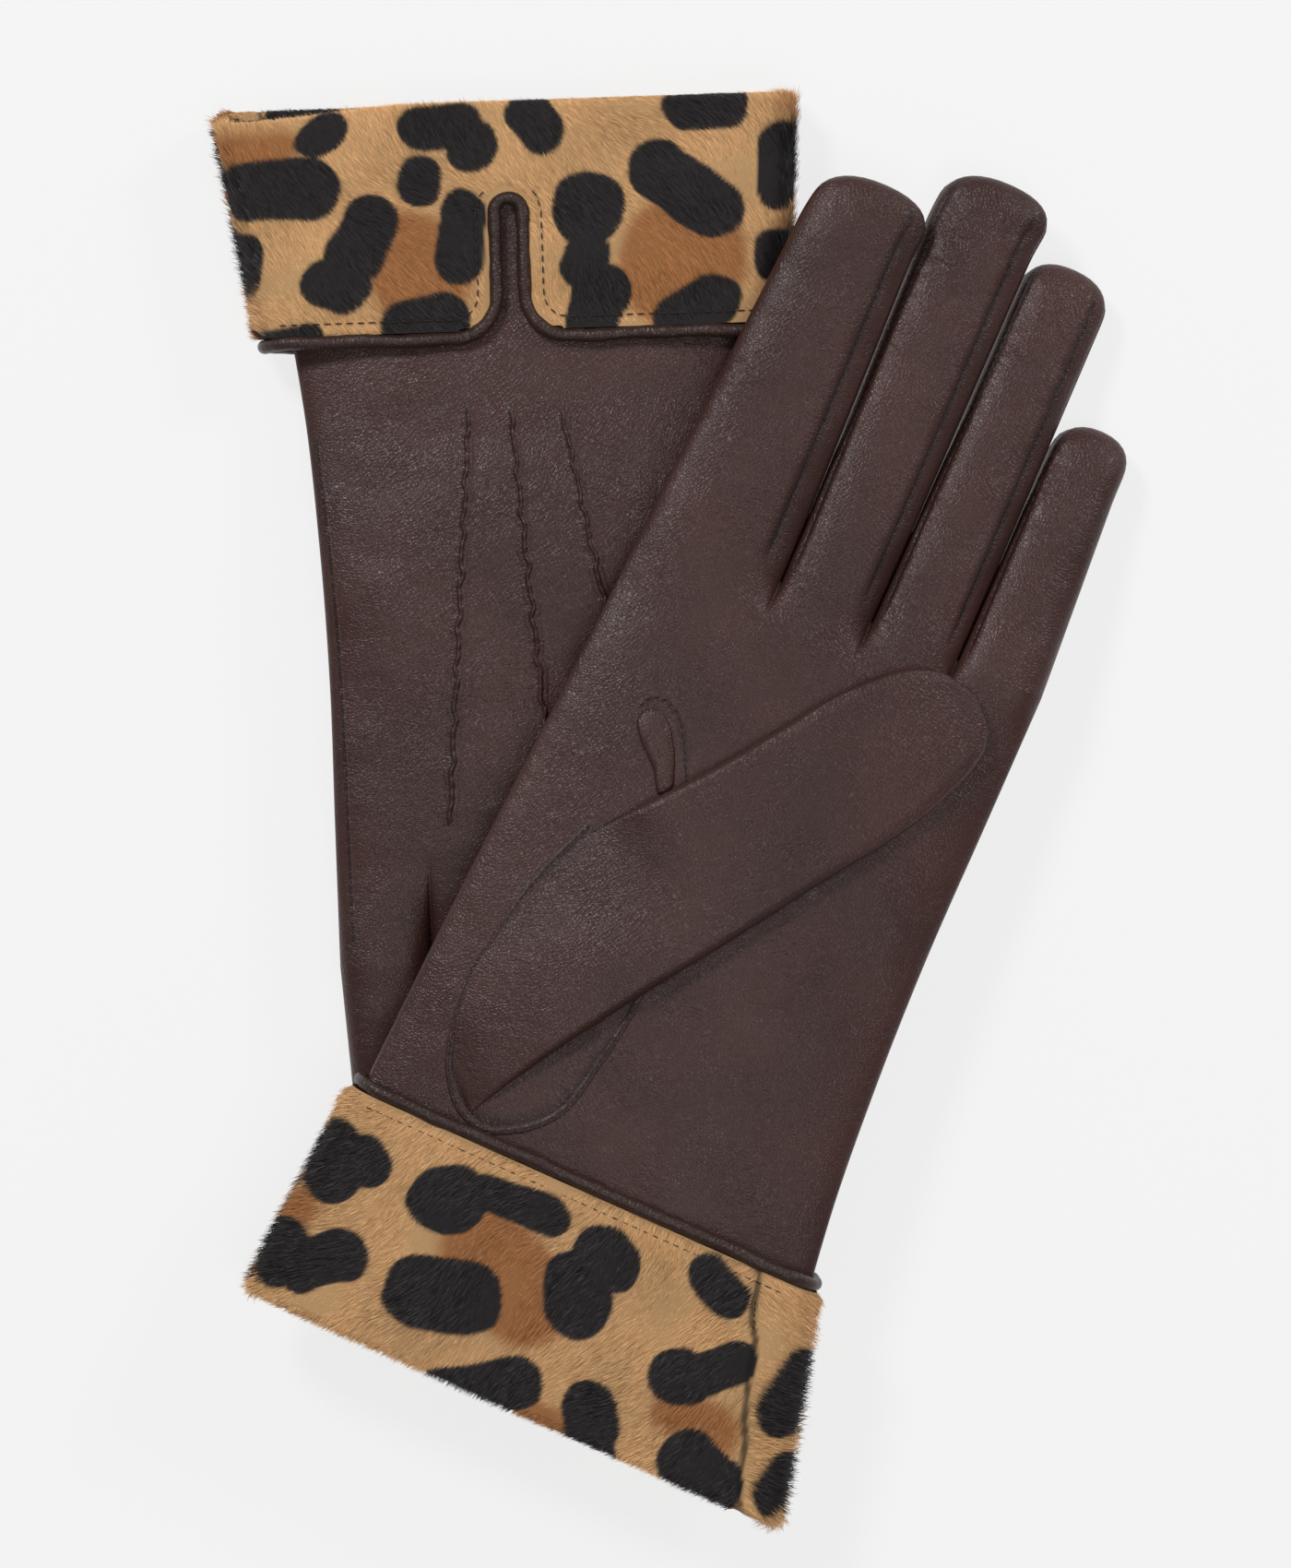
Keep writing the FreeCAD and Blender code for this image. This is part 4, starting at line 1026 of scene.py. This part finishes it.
    def print_and_shade_colour(self, u, y, face):
        """The colour of the print at points of the hide, with painted shade in the hair's parting along the
        cuff's seam on the palm face.
        """
        wobble = 0.5 * waves(u, y, 12.0, 41), 0.5 * waves(u, y, 12.0, 42)
        u, y = u + wobble[0], y + wobble[1]
        colour = np.broadcast_to(HAIR_TAN, (*u.shape, 3)) * (1 + 0.07 * waves(u, y, 22.0, 43))[..., None]
        for side, (black, orange) in SPOTS.items():
            here = face == side
            for spots, tone, soft in ((orange, HAIR_ORANGE, 1.8), (black, HAIR_BLACK, 0.25)):
                cover = np.zeros(u.shape)
                for spot in spots:
                    cover = np.maximum(cover, spot_cover(u, y, spot, soft))
                cover = (cover * here)[..., None]
                colour = colour * (1 - cover) + tone * cover
        # Painted shade: the colour darkens along the parting at the cuff's seam, on the palm face.
        parting_shade = 0.8 * (1 - smoothstep(0.35, 0.8, np.abs(self.seam_offset(u, y)))) * (face > 0)
        return colour * (1 - parting_shade)[..., None]

    def cuff(self):
        """The band of hide, without the vent's opening, and everything on it."""
        along = np.concatenate([np.linspace(0, 43, 76), np.linspace(43.4, 50, 16), np.linspace(51, 60, 8)])
        y, radius, _ = self.cuff_profile(along[:, None])
        share = np.linspace(0, 1, CUFF_COLUMNS, endpoint=False)[None, :]
        u, z, nu, nz, face = self.around(y, radius, share)
        puff = 0.22 * waves(u, y + 90 * (face < 0), 20.0, self.seed + 31) * (along[:, None] < OUTSIDE_END)
        points = self.cuff_to_local(u + puff * nu, y + 0 * u, z + puff * nz)
        cell_u, cell_y, cell_face = u[:-1], (y + 0 * u)[:-1], face[:-1]
        outside = np.broadcast_to(along[:-1, None] < OUTSIDE_END, cell_u.shape)
        kept = ~((self.vent_gap(cell_u, cell_y) < -1.0) & (cell_face < 0) & outside)
        band = grid_object(
            self.label("cuff"), self.world(points), self.materials["hide"], None, True, kept, flip=True
        )
        colours = self.print_and_shade_colour(u, y + 0 * u, face)
        faces = grid_faces(*u.shape, True)[kept]
        set_colour(band.data, colours.reshape(-1, 3)[np.unique(faces)])
        self.on_hand(band, "printed_hide", "cuff_band")
        self.binding()
        self.topstitch()
        for face, label in ((1, "palm"), (-1, "back")):
            self.hair(face, label)

    def hair_roots(self, rng, face, count):
        """Random places on one face of the hide, clear of the vent, the seam and the stitches."""
        at_edge = rng.random(count) < EDGE_SHARE
        along = np.where(at_edge, rng.uniform(0.1, 3.0, count), rng.uniform(0.1, HAIR_END, count))
        share = (rng.uniform(0, 0.5, count) - SIDE_SHARE + (0.0 if face == self.side else 0.5)) % 1
        y, radius, turn = self.cuff_profile(along)
        u, z, nu, nz, _ = self.around(y, radius, share)
        bare = (self.vent_gap(u, y) < 0.8) & (face < 0) & (along < OUTSIDE_END)
        parting = (np.abs(self.seam_offset(u, y)) < 0.5) & (face > 0)
        stitched = (self.stitch_distance(u, y, face) < 0.45) & (face < 0)
        keep = ~(bare | parting | stitched)
        return [values[keep] for values in (u, y, z, nu, nz, turn)]

    def hair_lie(self, rng, face, u, y):
        """Which way each hair lies on the hide: how far across the cuff and how far along it."""
        lean = 0.62 if self.name == "right" else -0.35
        angle = 0.35 * waves(u, y + 60 * (face < 0), 34.0, self.seed + 51) + rng.normal(0, 0.13, len(u))
        beyond = smoothstep(0.0, 0.6, -self.seam_offset(u, y)) * (face > 0)
        across = lean + beyond * (1.6 - lean) - 0.9 * smoothstep(-36, -56, u) * (self.name == "left")
        down = 0.8 * (1 - 0.75 * beyond)
        return across * np.cos(angle) + down * np.sin(angle), across * np.sin(angle) - down * np.cos(angle)

    def hair_directions(self, nu, nz, turn, lie_u, lie_y):
        """Each hair's outward normal and the way it lies, in the glove's frame."""
        normal = np.stack([nu * np.cos(turn), -np.sin(turn), nz * np.cos(turn)], -1)
        across = np.stack([nz, 0 * nz, -nu], -1) * np.where(nz < 0, -1, 1)[:, None]
        at_side = np.stack([0 * nz, 0 * nz, -np.sign(nu)], -1)
        across = np.where(np.abs(nz)[:, None] < 0.05, at_side, across)
        down = np.stack([-np.sin(turn) * nu, -np.cos(turn), -np.sin(turn) * nz], -1)
        way = across * lie_u[:, None] - down * lie_y[:, None]
        way -= normal * np.sum(way * normal, axis=1, keepdims=True)
        return self.cuff_turned(normal), self.cuff_turned(unit(way))

    def hair_length(self, rng, nz, turn):
        """How long each hair is and how steeply it stands. Many at the cuff's sides are ruffled."""
        length = rng.uniform(*HAIR_LENGTH, len(nz))
        stand = np.abs(rng.normal(0.12, 0.06, len(nz)))
        ruffled = (np.abs(nz) < 0.8) & (rng.random(len(nz)) < 0.55)
        length = np.where(ruffled, length * 1.5, length)
        stand = np.where(ruffled, stand + rng.uniform(0.1, 0.55, len(nz)), stand)
        if self.name == "right":
            length = np.where(turn > 0.3, length * 0.55, length)
        return length, stand

    def blade_corners(self, rng, root, way, normal, length, stand):
        """Five corners of each hair: two at its root, two at its bend and its tip."""
        length, stand = length[:, None], stand[:, None]
        bend = root + way * (length * HAIR_BEND) + normal * (length * HAIR_BEND * stand)
        tip = root + way * length + normal * (length * stand * rng.uniform(0.45, 0.95, length.shape))
        flat, _ = turned(np.cross(way, normal), normal, rng.uniform(-0.8, 0.8, length.shape))
        wide = flat * rng.uniform(*HAIR_WIDTH, length.shape) * 1.0
        corners = [root - wide, root + wide, bend + wide * 0.75, bend - wide * 0.75, tip]
        return self.world(np.stack(corners, axis=1))

    def hair_colours(self, rng, face, u, y, lie_u, lie_y, nz, length):
        """The print's colour under each corner of a hair, darker at the root and lighter at the tip, which
        is painted shade among the roots and painted light on the tips.
        """
        shade = rng.uniform(0.74, 1.2, len(u))[:, None, None]
        reach = np.array((0.0, 0.0, HAIR_BEND, HAIR_BEND, 1.0))[None, :]
        run = length[:, None] * reach * (np.abs(nz)[:, None] > 0.5) * 0.8
        at_u, at_y = u[:, None] + run * lie_u[:, None], y[:, None] + run * lie_y[:, None]
        colours = self.print_and_shade_colour(at_u, at_y, np.full(at_u.shape, face)) * shade
        # Painted shade at the roots and painted light at the tips: corners scaled by 0.8 at the root and
        # 1.15 at the tip.
        return np.clip(colours * np.array((0.8, 0.8, 1.0, 1.0, 1.15))[None, :, None], 0, 1)

    def hair(self, face, label):
        """Short hair lying on one face of the cuff, as thin tapered blades."""
        rng = np.random.default_rng(self.seed * 100 + face)
        u, y, z, nu, nz, turn = self.hair_roots(rng, face, HAIRS)
        lie_u, lie_y = self.hair_lie(rng, face, u, y)
        normal, way = self.hair_directions(nu, nz, turn, lie_u, lie_y)
        length, stand = self.hair_length(rng, nz, turn)
        corners = self.blade_corners(rng, self.cuff_to_local(u, y, z), way, normal, length, stand)
        colours = self.hair_colours(rng, face, u, y, lie_u, lie_y, nz, length)
        self.on_hand(self.blade_object(self.label(f"hair_{label}"), corners, colours), "printed_hide")

    def blade_object(self, name, points, colours):
        """One mesh of blades, each a quad from the root to the middle and a triangle to the tip."""
        n = len(points)
        mesh = bpy.data.meshes.new(name)
        mesh.vertices.add(5 * n)
        mesh.vertices.foreach_set("co", (points.reshape(-1) * MM).astype(np.float32))
        first = np.arange(n)[:, None] * 5
        mesh.loops.add(7 * n)
        corners = first + np.array([[0, 1, 2, 3, 3, 2, 4]])
        mesh.loops.foreach_set("vertex_index", corners.ravel().astype(np.int32))
        mesh.polygons.add(2 * n)
        starts = np.arange(n)[:, None] * 7 + np.array([[0, 4]])
        mesh.polygons.foreach_set("loop_start", starts.ravel().astype(np.int32))
        mesh.update(calc_edges=True)
        mesh.polygons.foreach_set("use_smooth", [True] * (2 * n))
        mesh.materials.append(self.materials["hair"])
        set_colour(mesh, colours.reshape(-1, 3))
        blades = bpy.data.objects.new(name, mesh)
        bpy.context.scene.collection.objects.link(blades)
        return blades

    def binding_path(self):
        """The cord's centre line round the cuff's edge and its vent: u, y and z in the cuff's frame."""
        level = CUFF_RADIUS - BINDING
        y = CUFF_LENGTH + BINDING
        half = self.edge - CUFF_RADIUS - 0.8
        right, left = self.edge_centre + half, self.edge_centre - half
        neck, corner, end = VENT_HALF - BINDING, VENT_CORNER + BINDING, VENT_END + VENT_HALF
        back = -self.side * level

        def side(u, start, stop):
            return [(u + c, y, s) for c, s in arc_steps(level, start, stop)]

        def rim(u, at_y, radius, start, stop):
            return [(u + c, at_y + s, back) for c, s in arc_steps(radius, start, stop)]

        quarter = math.pi / 2
        turn = quarter * (1 if back > 0 else -1)
        line = straight_steps((left, y, -back), (right, y, -back))
        line += side(right, -turn, turn)
        line += straight_steps((right, y, back), (neck + corner, y, back))
        line += rim(neck + corner, y - corner, corner, quarter, 2 * quarter)
        line += straight_steps((neck, y - corner, back), (neck, end, back))
        line += rim(0.0, end, neck, 0.0, -2 * quarter)
        line += straight_steps((-neck, end, back), (-neck, y - corner, back))
        line += rim(-neck - corner, y - corner, corner, 0.0, quarter)
        line += straight_steps((-neck - corner, y, back), (left, y, back))
        line += side(left, turn, 3 * turn)
        return np.array(line)

    def binding(self):
        """The cord of leather round the cuff's edge, a little uneven in its line and thickness."""
        path = self.binding_path()
        n = len(path)
        k = np.arange(n) * 2 * math.pi / n
        wander = 0.16 * (np.sin(7 * k + self.seed) + np.sin(19 * k) * 0.6)
        path = path + np.stack([0 * k, wander, 0.5 * wander], -1) * (np.abs(path[:, 0:1]) > 14)
        centres = self.world(self.cuff_to_local(path[:, 0], path[:, 1], path[:, 2]))
        swell = BINDING * (0.96 + 0.05 * np.sin(23 * k + self.seed) + 0.03 * np.sin(61 * k))
        cord = closed_tube(self.label("cuff_binding"), centres, swell, self.materials["binding"], 14)
        self.on_hand(cord, "binding_leather", "cuff_binding")

    def stitch_lines(self, face):
        """The rows of topstitch on one face of the hide, beside the binding: points in u and y."""
        y = CUFF_LENGTH - STITCH_INSET
        half = self.edge - 5.0
        if face > 0:
            return [np.array(((self.edge_centre - half, y), (self.edge_centre + half, y)))]
        end, corner = VENT_END + VENT_HALF, VENT_HALF + VENT_CORNER
        reach, r = VENT_HALF + STITCH_INSET, VENT_CORNER - STITCH_INSET
        arm = [(self.edge_centre + half, y), (corner, y)]
        for k in range(1, 6):
            a = math.pi / 2 * (1 + k / 5)
            arm.append((corner + r * math.cos(a), CUFF_LENGTH - VENT_CORNER + r * math.sin(a)))
        arm += [(reach, end + 2), (reach, end)]
        arm += [(reach * math.cos(a), end - reach * math.sin(a)) for a in (0.5, 1.0)]
        arm = np.array(arm)
        mirrored = arm * (-1, 1)
        mirrored[0, 0] = self.edge_centre - half
        return [arm, mirrored]

    def stitch_distance(self, u, y, face):
        """How far points of the hide are from the nearest row of topstitch."""
        best = np.full(u.shape, 99.0)
        for line in self.stitch_lines(face):
            for a, b in zip(line[:-1], line[1:]):
                d = b - a
                t = np.clip(((u - a[0]) * d[0] + (y - a[1]) * d[1]) / (d @ d), 0, 1)
                best = np.minimum(best, np.hypot(u - a[0] - t * d[0], y - a[1] - t * d[1]))
        return best

    def topstitch(self):
        """The stitches beside the binding, and the short row across the cuff's seam."""
        starts, ends = [], []
        for face in (1, -1):
            z = face * self.side * (CUFF_RADIUS - HIDE_DEPTH + (0.45 if face < 0 else 0.1))
            for line in self.stitch_lines(face):
                steps = path_steps(line)
                at = np.arange(0.5, steps[-1] - 2, 2.2)
                for store, offset in ((starts, 0.0), (ends, 1.4)):
                    u, y = (np.interp(at + offset, steps, line[:, k]) for k in (0, 1))
                    store.append(self.world(self.cuff_to_local(u, y, np.full(len(u), z))))
        a, b = np.array(CUFF_SEAM)
        at = np.arange(0.0, 0.14, 0.028)[:, None]
        z = np.full(len(at), self.side * (CUFF_RADIUS - HIDE_DEPTH + 0.5))
        for store, offset in ((starts, 0.0), (ends, 0.02)):
            p = a + (b - a) * (at + offset)
            store.append(self.world(self.cuff_to_local(p[:, 0], p[:, 1], z)))
        thread = stitch_object(
            self.label("cuff_thread"), np.vstack(starts), np.vstack(ends), 0.15, self.materials["thread"]
        )
        self.on_hand(thread, "binding_leather")

    def build(self):
        self.hand()
        for finger in FINGERS:
            self.finger(finger)
        self.thumb()
        self.patch("thumb_gusset", OVAL, 0.10)
        self.patch("quirk", (*QUIRK, *QUIRK_BACK), 0.75)
        self.seams()
        self.cuff()


# The set


def floor():
    """The pale background, just under the gloves."""
    bpy.ops.mesh.primitive_plane_add(size=6.0, location=(0, 0, -0.0004))
    plane = bpy.context.object
    plane.name = "floor"
    n = Nodes("floor")
    n.put(n.bsdf, "Base Color", (0.15, 0.15, 0.15, 1))
    n.put(n.bsdf, "Roughness", 0.9)
    n.put(n.bsdf, "Specular IOR Level", 0.0)
    n.put(n.bsdf, "Emission Color", (1, 1, 1, 1))
    n.put(n.bsdf, "Emission Strength", 0.775)
    plane.data.materials.append(n.material)


def lamp(name, place, size, power):
    """A round lamp that faces the origin."""
    light = bpy.data.lights.new(name, "AREA")
    light.shape = "DISK"
    light.size = size
    light.energy = power
    thing = bpy.data.objects.new(name, light)
    thing.location = place
    bpy.context.scene.collection.objects.link(thing)
    thing.rotation_euler = Vector(-np.array(place)).to_track_quat("-Z", "Y").to_euler()


def lights():
    world = bpy.data.worlds.new("studio")
    world.use_nodes = True
    background = world.node_tree.nodes["Background"].inputs
    background["Color"].default_value = (1, 1, 1, 1)
    background["Strength"].default_value = 0.20
    bpy.context.scene.world = world
    lamp("key", (-0.88, 1.20, 1.55), 0.50, 22.0)
    lamp("overhead", (0.25, -0.5, 1.9), 1.0, 8.0)
    lamp("rim", (0.95, 0.75, 0.7), 0.30, 5.0)


def main_camera():
    """Looks straight down at the pair."""
    scene = bpy.context.scene
    camera = bpy.data.cameras.new("camera")
    camera.sensor_fit = "VERTICAL"
    camera.sensor_height = SENSOR_HEIGHT
    camera.lens = SENSOR_HEIGHT * GLOVES_BELOW / VIEW_HEIGHT
    camera.clip_end = 20.0
    thing = bpy.data.objects.new("camera", camera)
    thing.location = CAMERA_PLACE
    scene.collection.objects.link(thing)
    scene.camera = thing
    scene.view_settings.view_transform = "Standard"


materials = make_materials()
for name in PLACES:
    Glove(name, materials).build()
floor()
lights()
main_camera()
